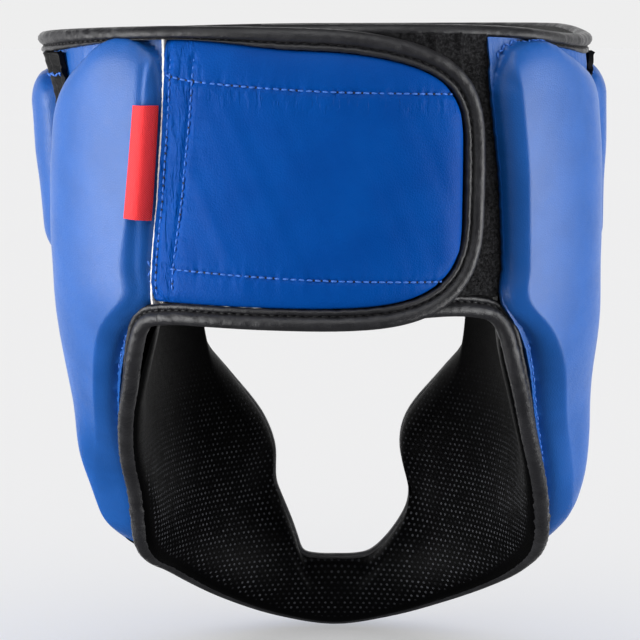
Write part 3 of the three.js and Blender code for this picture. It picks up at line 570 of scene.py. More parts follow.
@dataclass(frozen=True)
class PadSkin:
    """Outer leather of one pad between two sewn edges."""

    wall: HeadWall
    first: WallCurve
    second: WallCurve
    shape: PadShape

    WELT_WIDTH = 1.3
    WELT_ENDS = (0.28, 0.4)
    RIDGE_ENDS = (0.5, 0.75)
    TUCK_REACH = 5.0
    TUCK_SINK = 1.25
    FOLD_REACH = (0.22, 0.8)
    GATHER = 1.3
    GATHER_PITCH = 2.3
    FULL_CLEAR = 3.4
    FULL_FROM = (2.5, 7.0)
    TINY = 1e-6

    @property
    def long(self) -> float:
        """Length of the pad between its ends."""
        return (self.first.length + self.second.length) / 2

    def foot_frames(self, start: float, end: float) -> "Frames":
        """Frames along the foot of the pad's upper end, between two shares across."""
        t = np.linspace(start, end, 60)
        s = np.clip((self.shape.start_foot(t) - 0.6) / self.long, 0.004, 1)
        return frames_over(self.surface, s, t)

    def crowded(self, along: float, across: float) -> Surface:
        """Points of the skin, with finer rows at the seams."""
        return lambda s, t: self.surface(ease(s, along), ease(t, across))

    def surface(self, s: Array, t: Array) -> Array:
        """Points of the skin.

        Args:
            s: Share of the way along the pad.
            t: Share of the way across, from the first edge to the second.

        Returns:
            Points in millimetres.
        """
        shape, long = self.shape, self.long
        first, second = self.first.flat(s), self.second.flat(s)
        gap = second - first
        wide = np.linalg.norm(gap, axis=-1)
        across = gap / np.maximum(wide, self.TINY)[..., None]
        along = np.stack([-across[..., 1], across[..., 0]], -1)
        forward = self.first.flat(np.minimum(s + 0.01, 1)) - self.first.flat(s - 0.01)
        along *= np.sign(np.sum(along * forward, axis=-1))[..., None]

        first_round = np.minimum(shape.first_round(s), 0.5 * wide)
        second_round = np.minimum(shape.second_round(s), 0.5 * wide)
        near_first = np.clip(1 - (t * wide - shape.foot(s)) / first_round, 0, None)
        near_second = np.clip(1 - ((1 - t) * wide - shape.second_foot(s)) / second_round, 0, None)
        near_start = np.clip(1 - (s * long - shape.start_foot(t)) / shape.start_round, 0, None)
        near_end = np.clip(1 - (1 - s) * long / shape.end_round, 0, None)
        side_in, end_in = near_second - near_first, near_end - near_start
        edge = np.hypot(side_in, end_in)
        inside = np.clip(edge, 0, 1)
        way = np.maximum(edge, self.TINY)
        to_side, to_end = side_in / way, end_in / way
        power = lerp(shape.power, shape.ridge, smoothstep(-to_side, 0.3, 0.9))
        power = lerp(power, shape.power, smoothstep(s, *self.RIDGE_ENDS))
        rise = (1 - inside**power) ** (1 / power)

        middle = shape.middle_height(s)
        tall = np.where(
            t < 0.5,
            lerp(shape.first_height(s), middle, smoothstep(t, 0, 0.5)),
            lerp(middle, shape.second_height(s), smoothstep(t, 0.5, 1)),
        )
        height = shape.base + (tall - shape.base) * rise
        at, depth = shape.welt
        groove = np.exp(-(((t * wide - at) / self.WELT_WIDTH) ** 2))
        groove = groove * (1 - smoothstep(s, *self.WELT_ENDS))
        height = height - depth * groove * smoothstep(near_start, 1.0, 0.4)
        swell = shape.overhang * np.sin(np.pi * rise) * inside
        flat = lerp(first, second, np.asarray(t)[..., None])
        flat = flat + across * (to_side * swell)[..., None] + along * (to_end * swell)[..., None]
        lift = shape.arch * smoothstep(near_start, 0, 0.6) * smoothstep(rise, 0.1, 0.6)
        lift = lift * np.sin(np.pi * np.clip(t, 0, 1) ** shape.arch_lean) ** 2
        tuck = np.clip(1 - s * long / self.TUCK_REACH, 0, 1) * (1 - rise)
        flat[..., 1] += lift + shape.tucked * tuck

        reach = np.where(edge > 1, *reversed(self.FOLD_REACH))
        fold = np.exp(-(((edge - 1.0) / reach) ** 2)) * (edge > 0.3)
        waves = to_side**2 * ripple(s * long / shape.pucker_pitch, shape.seed)
        waves += to_end**2 * ripple(t * wide / shape.pucker_pitch, shape.seed + 2)
        gathers = ripple(t * wide / self.GATHER_PITCH, shape.seed + 4)
        waves += self.GATHER * (end_in < -0.9) * gathers
        under = tuck * min(shape.tucked, 1.0)
        height = height + shape.pucker * fold * waves * (1 - under) - self.TUCK_SINK * under

        angle = flat[..., 0] / MM_PER_DEGREE
        full = smoothstep(height, *self.FULL_FROM)
        clear = lerp(WALL_INSET - shape.tucked, self.FULL_CLEAR, full)
        z = np.minimum(flat[..., 1], self.wall.rim(angle, clear))
        return self.wall.at(angle, z, CLEARANCE + height)


# ------------------------------------------------------------------ modelling


class Bench:
    """Blender's modelling tools, used on one object at a time."""

    @staticmethod
    def select_only(obj: bpy.types.Object) -> None:
        """Makes obj the only selected object, and the active one."""
        bpy.ops.object.select_all(action="DESELECT")
        obj.select_set(True)
        bpy.context.view_layer.objects.active = obj

    @staticmethod
    def grid(name: str, along: int, across: int) -> bpy.types.Object:
        """A flat grid of faces at the origin, to be draped later."""
        bpy.ops.object.select_all(action="DESELECT")
        bpy.ops.mesh.primitive_grid_add(
            x_subdivisions=along, y_subdivisions=across, size=2, location=(0, 0, 0)
        )
        obj = bpy.context.active_object
        obj.name = obj.data.name = name
        return obj

    @staticmethod
    def shares(obj: bpy.types.Object) -> tuple[Array, Array]:
        """Shares along and across of each vertex of a flat grid."""
        flat = np.empty(len(obj.data.vertices) * 3)
        obj.data.vertices.foreach_get("co", flat)
        flat = flat.reshape(-1, 3)
        return np.clip((flat[:, 0] + 1) / 2, 0, 1), np.clip((flat[:, 1] + 1) / 2, 0, 1)

    @classmethod
    def drape(
        cls, obj: bpy.types.Object, surface: Surface, uv_size: tuple[float, float]
    ) -> tuple[Array, Array]:
        """Moves a flat grid's vertices on to a surface.

        Args:
            obj: The flat grid.
            surface: Points in millimetres from shares along and across.
            uv_size: Length and width of the piece in millimetres, for its UV.

        Returns:
            The shares along and across of each vertex.
        """
        s, t = cls.shares(obj)
        obj.data.vertices.foreach_set("co", (surface(s, t) * MM).ravel())
        cls.flatten(obj, np.stack([s * uv_size[0], t * uv_size[1]], 1))
        obj.data.update()
        return s, t

    @staticmethod
    def flatten(obj: bpy.types.Object, places: Array) -> None:
        """Writes each vertex's place on the flat piece, in millimetres, as its UV."""
        loops = np.empty(len(obj.data.loops), dtype=np.int32)
        obj.data.loops.foreach_get("vertex_index", loops)
        obj.data.uv_layers[0].data.foreach_set("uv", (places * MM)[loops].ravel())

    @classmethod
    def face_away(cls, obj: bpy.types.Object, points: Array, way: int = 1) -> None:
        """Turns the faces away from the head, or towards it with a way of -1."""
        normals = np.empty(len(obj.data.vertices) * 3)
        obj.data.vertex_normals.foreach_get("vector", normals)
        outward = unit(points * (1, 1, 0)) * way
        if float(np.sum(normals.reshape(-1, 3) * outward)) < 0:
            cls.edit(obj, lambda: bpy.ops.mesh.flip_normals())

    @staticmethod
    def mesh(name: str, verts: Sequence, faces: Sequence) -> bpy.types.Object:
        """A new object of points in metres and faces."""
        mesh = bpy.data.meshes.new(name)
        mesh.from_pydata(verts, [], faces)
        obj = bpy.data.objects.new(name, mesh)
        bpy.context.scene.collection.objects.link(obj)
        return obj

    @classmethod
    def edit(cls, obj: bpy.types.Object, *steps: Callable[[], object]) -> None:
        """Runs edit-mode steps on everything in obj."""
        cls.select_only(obj)
        bpy.ops.object.mode_set(mode="EDIT")
        bpy.ops.mesh.select_all(action="SELECT")
        for step in steps:
            step()
        bpy.ops.object.mode_set(mode="OBJECT")

    @classmethod
    def thicken(cls, obj: bpy.types.Object, thickness: float) -> None:
        """Gives a skin its thickness, behind its outer face."""
        cls.select_only(obj)
        solid = obj.modifiers.new("thickness", "SOLIDIFY")
        solid.thickness = thickness * MM
        solid.offset = -1
        solid.use_even_offset = False
        bpy.ops.object.modifier_apply(modifier=solid.name)

    @classmethod
    def close_tube(cls, obj: bpy.types.Object, cap: bool = True) -> None:
        """Joins a rolled-up grid along its length and caps both ends."""
        cls.edit(obj, lambda: bpy.ops.mesh.remove_doubles(threshold=2e-6))
        if cap:
            cls.edit(obj, lambda: bpy.ops.mesh.fill_holes(sides=0))
        cls.edit(obj, lambda: bpy.ops.mesh.normals_make_consistent(inside=False))

    @classmethod
    def soften(cls, obj: bpy.types.Object, degrees: float = 50) -> None:
        """Shades smooth, except over edges sharper than an angle."""
        cls.select_only(obj)
        bpy.ops.object.shade_smooth_by_angle(angle=math.radians(degrees))

    @staticmethod
    def mark(obj: bpy.types.Object, name: str, values: Array) -> None:
        """Writes one number for each vertex, which a finish can read."""
        mark = obj.data.attributes.new(name, "FLOAT", "POINT")
        mark.data.foreach_set("value", np.asarray(values, np.float32))


class Frames(NamedTuple):
    """Places along a path, with their directions."""

    point: Array
    along: Array
    out: Array

    @property
    def across(self) -> Array:
        """Direction beside the path, square to both others."""
        return np.cross(self.out, self.along)


def square_to(along: Array, out: Array) -> Array:
    """Outward directions, made square to those along a path."""
    return unit(out - along * np.sum(out * along, axis=1, keepdims=True))


def frames_on(
    wall: HeadWall, angle: Array, z: Array, offset: Array, closed: bool = False
) -> Frames:
    """Frames along a line over the wall.

    Args:
        wall: The wall that the line follows.
        angle: Angle of each place.
        z: Height of each place.
        offset: Distance off the wall of each place.
        closed: Whether the last place is the first again.

    Returns:
        Points in millimetres with unit directions.
    """
    point = wall.at(angle, z, offset)
    along = np.gradient(point, axis=0)
    if closed:
        along[0] = along[-1] = point[1] - point[-2]
    along = unit(along)
    return Frames(point, along, square_to(along, wall.normal(angle, z)))


def frames_over(surface: Surface, s: Array, t: Array) -> Frames:
    """Frames along a line drawn on a skin by its shares."""
    near = 2e-3
    point = surface(s, t)
    by_s = surface(s + near, t) - surface(s - near, t)
    by_t = surface(s, t + near) - surface(s, t - near)
    out = unit(np.cross(by_s, by_t))
    out *= np.sign(np.sum(out * point * (1, 1, 0), axis=1, keepdims=True))
    return Frames(point, unit(np.gradient(point, axis=0)), out)


# ------------------------------------------------------------------- finishes


class Shader:
    """One node tree under construction, with short ways to add and join nodes."""

    def __init__(self, tree: bpy.types.NodeTree) -> None:
        self.tree = tree

    @classmethod
    def material(cls, name: str) -> tuple[bpy.types.Material, "Shader", bpy.types.Node]:
        """A new material, its shader and its Principled node."""
        material = bpy.data.materials.new(name)
        material.use_nodes = True
        return material, cls(material.node_tree), material.node_tree.nodes["Principled BSDF"]

    @classmethod
    def group(
        cls, name: str, inputs: dict[str, float], outputs: Sequence[str]
    ) -> tuple["Shader", bpy.types.Node, bpy.types.Node]:
        """A new node group with a vector input, number inputs and number outputs."""
        tree = bpy.data.node_groups.new(name, "ShaderNodeTree")
        tree.interface.new_socket("Vector", in_out="INPUT", socket_type="NodeSocketVector")
        for label, default in inputs.items():
            socket = tree.interface.new_socket(
                label, in_out="INPUT", socket_type="NodeSocketFloat"
            )
            socket.default_value = default
        for label in outputs:
            tree.interface.new_socket(label, in_out="OUTPUT", socket_type="NodeSocketFloat")
        shader = cls(tree)
        return shader, shader.add("NodeGroupInput"), shader.add("NodeGroupOutput")

    def add(self, kind: str, **settings: object) -> bpy.types.Node:
        """A new node with its settings."""
        node = self.tree.nodes.new(kind)
        for label, value in settings.items():
            setattr(node, label, value)
        return node

    def link(self, source: bpy.types.NodeSocket, target: bpy.types.NodeSocket) -> None:
        """Joins two sockets."""
        self.tree.links.new(source, target)

    def feed(self, socket: bpy.types.NodeSocket, value: object) -> None:
        """Joins a socket to another one, or sets it to a number or colour."""
        if isinstance(value, bpy.types.NodeSocket):
            self.link(value, socket)
        else:
            socket.default_value = value

    def fill(self, node: bpy.types.Node, values: dict[str, object]) -> None:
        """Feeds several inputs of a node."""
        for label, value in values.items():
            self.feed(node.inputs[label], value)

    def math(self, operation: str, first: object, second: object = None) -> bpy.types.NodeSocket:
        """A sum on sockets or numbers, and its result."""
        node = self.add("ShaderNodeMath", operation=operation)
        for socket, value in zip(node.inputs, (first, second)):
            if value is not None:
                self.feed(socket, value)
        return node.outputs[0]

    def noise(
        self, vector: bpy.types.NodeSocket, scale: float, detail: float = 3, rough: float = 0.5
    ) -> bpy.types.NodeSocket:
        """Cloudy noise between 0 and 1."""
        node = self.add("ShaderNodeTexNoise")
        self.fill(node, {"Vector": vector, "Scale": scale, "Detail": detail, "Roughness": rough})
        return node.outputs["Fac"]

    def ramp(
        self, value: bpy.types.NodeSocket, low: float, high: float, start: float, end: float
    ) -> bpy.types.NodeSocket:
        """A value moved from one range to another, eased and held at the ends."""
        node = self.add("ShaderNodeMapRange", interpolation_type="SMOOTHSTEP")
        ends = {"From Min": low, "From Max": high, "To Min": start, "To Max": end}
        self.fill(node, {"Value": value, **ends})
        return node.outputs["Result"]

    def blend(
        self, share: bpy.types.NodeSocket, first: Colour | bpy.types.NodeSocket, second: Colour
    ) -> bpy.types.NodeSocket:
        """A colour between two, by a share."""
        node = self.add("ShaderNodeMix", data_type="RGBA")
        self.link(share, node.inputs["Factor"])
        plain = not isinstance(first, bpy.types.NodeSocket)
        self.feed(node.inputs[6], (*first, 1) if plain else first)
        self.feed(node.inputs[7], (*second, 1))
        return node.outputs[2]

    def attribute(self, name: str) -> bpy.types.NodeSocket:
        """The number that a mesh holds at each vertex under a name."""
        return self.add("ShaderNodeAttribute", attribute_name=name).outputs["Fac"]

    def stretched(self, vector: bpy.types.NodeSocket, scale: Place) -> bpy.types.NodeSocket:
        """Coordinates stretched apart along each axis."""
        node = self.add("ShaderNodeMapping")
        self.fill(node, {"Vector": vector, "Scale": scale})
        return node.outputs["Vector"]

    def use(
        self, group: bpy.types.NodeTree, vector: bpy.types.NodeSocket, **numbers: float
    ) -> bpy.types.Node:
        """A copy of a node group, fed with coordinates and numbers."""
        node = self.add("ShaderNodeGroup")
        node.node_tree = group
        self.fill(node, {"Vector": vector, **numbers})
        return node

    def bump(
        self,
        height: bpy.types.NodeSocket,
        strength: float,
        distance: float,
        before: bpy.types.NodeSocket | None = None,
    ) -> bpy.types.NodeSocket:
        """A normal bent by a height, over an earlier normal if there is one."""
        node = self.add("ShaderNodeBump")
        self.fill(node, {"Height": height, "Strength": strength, "Distance": distance * MM})
        if before is not None:
            self.link(before, node.inputs["Normal"])
        return node.outputs["Normal"]


def surface_inputs(
    colour: bpy.types.NodeSocket,
    rough: bpy.types.NodeSocket,
    specular: float,
    normal: bpy.types.NodeSocket,
) -> dict[str, object]:
    """What a finish feeds to its Principled node."""
    return {
        "Base Color": colour,
        "Roughness": rough,
        "Specular IOR Level": specular,
        "Normal": normal,
    }


class Effects:
    """Node groups that several finishes share."""

    def __init__(self) -> None:
        self.grain = self._grain()
        self.lattice = self._lattice()
        self.weave = self._weave()

    @staticmethod
    def _grain() -> bpy.types.NodeTree:
        """Pebbles and pores of tanned leather."""
        shader, given, result = Shader.group("leather_grain", {"Cell": 1.0}, ("Height", "Cloud"))
        scaled = shader.add("ShaderNodeVectorMath", operation="SCALE")
        shader.link(given.outputs["Vector"], scaled.inputs[0])
        shader.link(given.outputs["Cell"], scaled.inputs["Scale"])
        place = scaled.outputs["Vector"]
        cells = shader.add("ShaderNodeTexVoronoi", feature="DISTANCE_TO_EDGE")
        shader.fill(cells, {"Vector": place, "Scale": 1.0})
        pebbles = shader.ramp(cells.outputs["Distance"], 0.0, 0.28, 0.0, 1.0)
        pores = shader.noise(place, 3.1, 2)
        swell = shader.noise(place, 0.22, 3)
        height = shader.math("ADD", pebbles, shader.math("MULTIPLY", pores, 0.5))
        height = shader.math("ADD", height, shader.math("MULTIPLY", swell, 1.4))
        shader.link(height, result.inputs["Height"])
        shader.link(shader.noise(place, 0.05, 4), result.inputs["Cloud"])
        return shader.tree

    @staticmethod
    def _lattice() -> bpy.types.NodeTree:
        """Round dots in staggered rows."""
        shader, given, result = Shader.group(
            "dot_lattice", {"Pitch": 0.0022, "Dot": 0.2}, ("Mask",)
        )
        parts = shader.add("ShaderNodeSeparateXYZ")
        shader.link(given.outputs["Vector"], parts.inputs[0])
        u = shader.math("DIVIDE", parts.outputs["X"], given.outputs["Pitch"])
        v = shader.math("DIVIDE", parts.outputs["Y"], given.outputs["Pitch"])
        v = shader.math("DIVIDE", v, math.sqrt(3))
        nearest = []
        for shift in (0.0, 0.5):
            du = shader.math("SUBTRACT", shader.math("FRACT", shader.math("ADD", u, shift)), 0.5)
            dv = shader.math("SUBTRACT", shader.math("FRACT", shader.math("ADD", v, shift)), 0.5)
            dv = shader.math("MULTIPLY", dv, math.sqrt(3))
            square = shader.math(
                "ADD", shader.math("MULTIPLY", du, du), shader.math("MULTIPLY", dv, dv)
            )
            nearest.append(shader.math("SQRT", square))
        distance = shader.math("MINIMUM", *nearest)
        inside = shader.math("SUBTRACT", given.outputs["Dot"], distance)
        shader.link(shader.ramp(inside, -0.05, 0.06, 0.0, 1.0), result.inputs["Mask"])
        return shader.tree

    @staticmethod
    def _weave() -> bpy.types.NodeTree:
        """Threads that go over and under each other."""
        shader, given, result = Shader.group("plain_weave", {"Thread": 0.0005}, ("Height",))
        parts = shader.add("ShaderNodeSeparateXYZ")
        shader.link(given.outputs["Vector"], parts.inputs[0])
        waves = []
        for axis in ("X", "Y"):
            turns = shader.math("DIVIDE", parts.outputs[axis], given.outputs["Thread"])
            waves.append(shader.math("SINE", shader.math("MULTIPLY", turns, math.pi)))
        over = shader.math("MULTIPLY", *waves)
        shader.link(shader.math("ADD", over, 1.0), result.inputs["Height"])
        return shader.tree


@dataclass(frozen=True)
class LeatherFinish:
    """Dyed leather with a fine grain and a soft gloss."""

    name: str
    deep: Colour
    light: Colour
    roughness: float = 0.42
    specular: float = 0.45
    grain: float = 0.22
    cell: float = 1100.0
    crease: float = 0.5
    back: Colour = (0.003, 0.003, 0.004)

    def material(self, effects: Effects) -> bpy.types.Material:
        """The leather's material."""
        material, shader, body = Shader.material(self.name)
        place = shader.add("ShaderNodeTexCoord").outputs["Object"]
        grain = shader.use(effects.grain, place, Cell=self.cell)
        cloud = shader.ramp(grain.outputs["Cloud"], 0.3, 0.7, 0.0, 1.0)
        dyed = shader.blend(cloud, self.deep, self.light)
        lined = shader.blend(shader.attribute("inside"), dyed, self.back)
        rough = shader.ramp(
            grain.outputs["Height"], 0.6, 1.9, self.roughness + 0.07, self.roughness - 0.05
        )
        fine = shader.bump(grain.outputs["Height"], self.grain, 0.18)
        wrinkle = shader.noise(shader.stretched(place, (260.0, 260.0, 60.0)), 1.0, 3, 0.6)
        folds = shader.ramp(wrinkle, 0.42, 0.56, 0.0, 1.0)
        folds = shader.math("MULTIPLY", folds, shader.attribute("crease"))
        normal = shader.bump(folds, self.crease, 0.5, fine)
        shader.fill(body, surface_inputs(lined, rough, self.specular, normal))
        return material


@dataclass(frozen=True)
class TapeFinish:
    """Black synthetic leather of the bindings."""

    name: str
    deep: Colour
    light: Colour
    roughness: float = 0.38
    specular: float = 0.45
    cell: float = 1500.0

    def material(self, effects: Effects) -> bpy.types.Material:
        """The tape's material."""
        material, shader, body = Shader.material(self.name)
        place = shader.add("ShaderNodeTexCoord").outputs["Object"]
        grain = shader.use(effects.grain, place, Cell=self.cell)
        cloud = shader.ramp(grain.outputs["Cloud"], 0.3, 0.7, 0.0, 1.0)
        colour = shader.blend(cloud, self.deep, self.light)
        worn = shader.noise(place, 160.0, 3)
        rough = shader.ramp(worn, 0.3, 0.7, self.roughness - 0.06, self.roughness + 0.1)
        fine = shader.bump(grain.outputs["Height"], 0.3, 0.16)
        normal = shader.bump(shader.noise(place, 330.0, 3), 0.5, 0.7, fine)
        shader.fill(body, surface_inputs(colour, rough, self.specular, normal))
        return material


@dataclass(frozen=True)
class LiningFinish:
    """Black lining with staggered pale dots, dimmed by painted shade where the mesh marks it."""

    name: str
    ground: Colour
    dot: Colour
    pitch: float = 2.6
    dot_size: float = 0.2
    specular: float = 0.03
    cell: float = 1300.0

    def material(self, effects: Effects) -> bpy.types.Material:
        """The lining's material."""
        material, shader, body = Shader.material(self.name)
        coords = shader.add("ShaderNodeTexCoord")
        dots = shader.use(
            effects.lattice, coords.outputs["UV"], Pitch=self.pitch * MM, Dot=self.dot_size
        )
        # The mesh's mark holds where the dots show, dimmed by painted shade towards the top and
        # middle.
        mask = shader.math("MULTIPLY", dots.outputs["Mask"], shader.attribute("dots_dimmed_by_painted_shade"))
        cloud = shader.noise(coords.outputs["Object"], 190.0, 3)
        patchy = shader.ramp(cloud, 0.36, 0.62, 0.15, 1.0)
        mask = shader.math("MULTIPLY", mask, patchy)
        colour = shader.blend(mask, self.ground, self.dot)
        grain = shader.use(effects.grain, coords.outputs["Object"], Cell=self.cell)
        rough = shader.ramp(grain.outputs["Height"], 0.6, 1.9, 0.58, 0.44)
        fine = shader.bump(grain.outputs["Height"], 0.18, 0.15)
        normal = shader.bump(mask, 0.5, 0.2, fine)
        shader.fill(body, surface_inputs(colour, rough, self.specular, normal))
        return material


class Pattern(Enum):
    """What the eye sees of a cloth from close by."""

    FIBRE = "fibre"
    WEAVE = "weave"


@dataclass(frozen=True)
class ClothFinish:
    """Cloth or thread, of loose fibres or of a weave."""

    name: str
    deep: Colour
    light: Colour
    scale: float
    pattern: Pattern = Pattern.FIBRE
    rough: tuple[float, float] = (0.95, 0.8)
    specular: float = 0.2
    relief: float = 0.6

    def material(self, effects: Effects) -> bpy.types.Material:
        """The cloth's material."""
        material, shader, body = Shader.material(self.name)
        coords = shader.add("ShaderNodeTexCoord")
        if self.pattern is Pattern.WEAVE:
            weave = shader.use(effects.weave, coords.outputs["UV"], Thread=1 / self.scale)
            height, low, high = weave.outputs["Height"], 0.2, 1.8
        else:
            height = shader.noise(coords.outputs["Object"], self.scale, 4, 0.7)
            low, high = 0.4, 0.7
        share = shader.ramp(height, low, high, 0.0, 1.0)
        colour = shader.blend(share, self.deep, self.light)
        rough = shader.ramp(share, 0.0, 1.0, *self.rough)
        normal = shader.bump(height, 0.6, self.relief)
        shader.fill(body, surface_inputs(colour, rough, self.specular, normal))
        return material


class Finishes:
    """Every finish of the guard, each made once."""

    def __init__(self) -> None:
        effects = Effects()
        self.pad = LeatherFinish(
            "blue_pad_leather", (0.003, 0.08, 0.335), (0.006, 0.093, 0.38), specular=0.46
        ).material(effects)
        self.strap = LeatherFinish(
            "blue_strap_leather", (0.0004, 0.054, 0.29), (0.0008, 0.065, 0.33), roughness=0.44,
            specular=0.06, grain=0.3, cell=950.0, crease=0.8
        ).material(effects)
        self.tape = TapeFinish(
            "black_binding_tape", (0.009, 0.009, 0.011), (0.019, 0.019, 0.022)
        ).material(effects)
        self.lining = LiningFinish(
            "black_dotted_lining", (0.0008, 0.0008, 0.001), (0.064, 0.066, 0.074)
        ).material(effects)
        self.loop = ClothFinish(
            "black_loop_pile", (0.002, 0.002, 0.0025), (0.022, 0.022, 0.024), 900.0
        ).material(effects)
        self.gusset = ClothFinish(
            "black_gathered_cloth", (0.001, 0.001, 0.0013), (0.007, 0.007, 0.008), 1500.0,
            rough=(0.6, 0.45), specular=0.12, relief=0.2
        ).material(effects)
        self.label = ClothFinish(
            "red_ribbon", (0.78, 0.02, 0.026), (0.97, 0.05, 0.06), 2400.0, Pattern.WEAVE,
            (0.75, 0.55), 0.3, 0.12
        ).material(effects)
        self.cut_edge = ClothFinish(
            "pale_cut_edge", (0.74, 0.71, 0.65), (0.93, 0.91, 0.87), 1100.0, relief=0.2
        ).material(effects)
        thread = {"rough": (0.62, 0.48), "specular": 0.4, "relief": 0.15}
        self.blue_thread = ClothFinish(
            "blue_thread", (0.025, 0.13, 0.52), (0.085, 0.24, 0.74), 1800.0, **thread
        ).material(effects)
        self.black_thread = ClothFinish(
            "black_thread", (0.003, 0.003, 0.004), (0.014, 0.014, 0.016), 1800.0, **thread
        ).material(effects)
        # Painted shade: near-black blue for discs that stand for the shade inside the needle holes.
        self.hole_shade = ClothFinish(
            "needle_hole_painted_shade", (0.001, 0.004, 0.016), (0.002, 0.008, 0.03), 1800.0, **thread
        ).material(effects)


# --------------------------------------------------------------------- pieces


class Workshop:
    """What every piece needs: the wall, the finishes and the way to the frame."""

    def __init__(self) -> None:
        self.wall = HeadWall()
        self.finish = Finishes()
        self.random = np.random.default_rng(STITCH_SEED)

    def dress(
        self, obj: bpy.types.Object, material: bpy.types.Material, slot: Slot, *nodes: str
    ) -> bpy.types.Object:
        """Gives a piece its finish and its place in the frame.

        Args:
            obj: The finished mesh.
            material: Its finish.
            slot: The record's material slot; not used.
            nodes: CAD nodes that the piece stands for.

        Returns:
            The same object.
        """
        obj.data.materials.clear()
        obj.data.materials.append(material)
        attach(obj, "root")
        if nodes:
            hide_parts(*nodes)
        LOG.info("%s: %d faces", obj.name, len(obj.data.polygons))
        return obj

    def skin(
        self,
        name: str,
        surface: Surface,
        cells: tuple[int, int],
        uv_size: tuple[float, float],
        thickness: float,
        crease: Callable[[Array, Array], Array] | None = None,
    ) -> bpy.types.Object:
        """A leather skin draped over a surface and given its thickness.

        Args:
            name: Name of the piece.
            surface: Points in millimetres from shares along and across.
            cells: Faces along and across.
            uv_size: Length and width in millimetres.
            thickness: Thickness of the skin in millimetres.
            crease: Strength of the creases from shares, if the skin has any.

        Returns:
            The piece, without a finish.
        """
        obj = Bench.grid(name, *cells)
        s, t = Bench.drape(obj, surface, uv_size)
        Bench.mark(obj, "crease", np.zeros_like(s) if crease is None else crease(s, t))
        Bench.face_away(obj, surface(s, t))
        outer = len(obj.data.vertices)
        Bench.thicken(obj, thickness)
        Bench.mark(obj, "inside", np.arange(len(obj.data.vertices)) >= outer)
        Bench.soften(obj)
        return obj


@dataclass
class StitchRow:
    """One row of stitches along a line."""

    frames: Frames
    pitch: float = 3.6
    length: float = 2.7
    radius: float = 0.42
    lift: float = 0.1
    slant: float = 0.0

    def places(self) -> Frames:
        """Frames at the middle of each stitch."""
        walked = walked_along(self.frames.point)
        count = max(1, int(walked[-1] / self.pitch))
        at = (np.arange(count) + 0.5) * walked[-1] / count
        point, along, out = (between(at, walked, values) for values in self.frames)
        along = unit(along)
        return Frames(point, along, square_to(along, out))


@dataclass
class Stitching:
    """Rows of stitches sewn as one piece: a stitch is modelled once and copied."""

    name: str
    rows: list[StitchRow] = field(default_factory=list)
    segments: int = 7
    rings: int = 5
    uneven: float = 2.5

    def _template(self) -> tuple[Array, list[tuple[int, ...]]]:
        bpy.ops.object.select_all(action="DESELECT")
        bpy.ops.mesh.primitive_uv_sphere_add(
            segments=self.segments, ring_count=self.rings, radius=1, location=(0, 0, 0)
        )
        ball = bpy.context.active_object
        Bench.edit(
            ball,
            lambda: bpy.ops.transform.rotate(
                value=math.pi / 2, orient_axis="Y", center_override=(0, 0, 0)
            ),
        )
        points = np.array([vertex.co[:] for vertex in ball.data.vertices])
        faces = [tuple(face.vertices) for face in ball.data.polygons]
        bpy.data.objects.remove(ball, do_unlink=True)
        return points, faces

    def build(self, shop: Workshop, hole_shade_discs: bool = False) -> bpy.types.Object:
        """One mesh of every stitch, or of dark discs of painted shade at the needle holes between
        them.
        """
        points, faces = self._template()
        verts, polys = [], []
        for row in self.rows:
            spots = row.places()
            across = spots.across
            for k in range(len(spots.point)):
                turn = math.radians(row.slant * (-1) ** k + shop.random.normal(0, self.uneven))
                along = spots.along[k] * math.cos(turn) + across[k] * math.sin(turn)
                beside = across[k] * math.cos(turn) - spots.along[k] * math.sin(turn)
                size = (row.length / 2, row.radius, row.radius * 0.9)
                middle = spots.point[k] + spots.out[k] * row.lift
                # Painted shade: a flat dark disc half a pitch back, where the needle hole sits.
                if hole_shade_discs:
                    middle = spots.point[k] - spots.along[k] * row.pitch / 2
                    size = (row.radius * 1.1, row.radius * 1.15, row.radius * 0.3)
                start = len(verts)
                moved = (
                    middle
                    + points[:, :1] * size[0] * along
                    + points[:, 1:2] * size[1] * beside
                    + points[:, 2:] * size[2] * spots.out[k]
                )
                verts.extend((moved * MM).tolist())
                polys.extend(tuple(start + i for i in face) for face in faces)
        obj = Bench.mesh(f"{self.name}_holes" if hole_shade_discs else self.name, verts, polys)
        Bench.soften(obj, 80)
        return obj


@dataclass
class RearPad:
    """Padded side of the back of the head, sewn along the closure and the jaw."""

    side: Side
    shape: PadShape
    corners: tuple[tuple[float, float], ...]
    jaw_row: tuple[float, float, float]
    jaw_row_inset: float = 1.7
    cells: tuple[int, int] = (190, 110)
    flat_size: tuple[float, float] = (230, 90)
    thickness: float = 1.6

    def skin(self, wall: HeadWall) -> PadSkin:
        """The pad's outer leather."""
        second = wall.gusset_edge(self.side, -BESIDE_GUSSET, wall.gusset_top)
        return PadSkin(wall, wall.rear_edge(self.side), second, self.shape)

    def build(self, shop: Workshop) -> None:
        """Models and dresses the pad with its stitching."""
        name, skin = f"{self.side.value}_rear", self.skin(shop.wall)
        surface = skin.crowded(0.35, 0.5)
        obj = shop.skin(f"{name}_leather", surface, self.cells, self.flat_size, self.thickness)
        shop.dress(obj, shop.finish.pad, Slot.PAD, f"{name}_pad")
        zigzag = {"pitch": 2.1, "length": 2.5, "radius": 0.4, "lift": 0.3, "slant": 38}
        rows = [StitchRow(skin.foot_frames(*span), **zigzag) for span in self.corners]
        start, end, slant = self.jaw_row
        s = np.linspace(start, end, 90)
        wide = np.linalg.norm(skin.second.flat(s) - skin.first.flat(s), axis=1)
        jaw = frames_over(skin.surface, s, self.jaw_row_inset / wide)
        rows.append(StitchRow(jaw, length=2.6, slant=slant))
        thread = Stitching(f"{name}_stitching", rows).build(shop)
        shop.dress(thread, shop.finish.blue_thread, Slot.PAD)


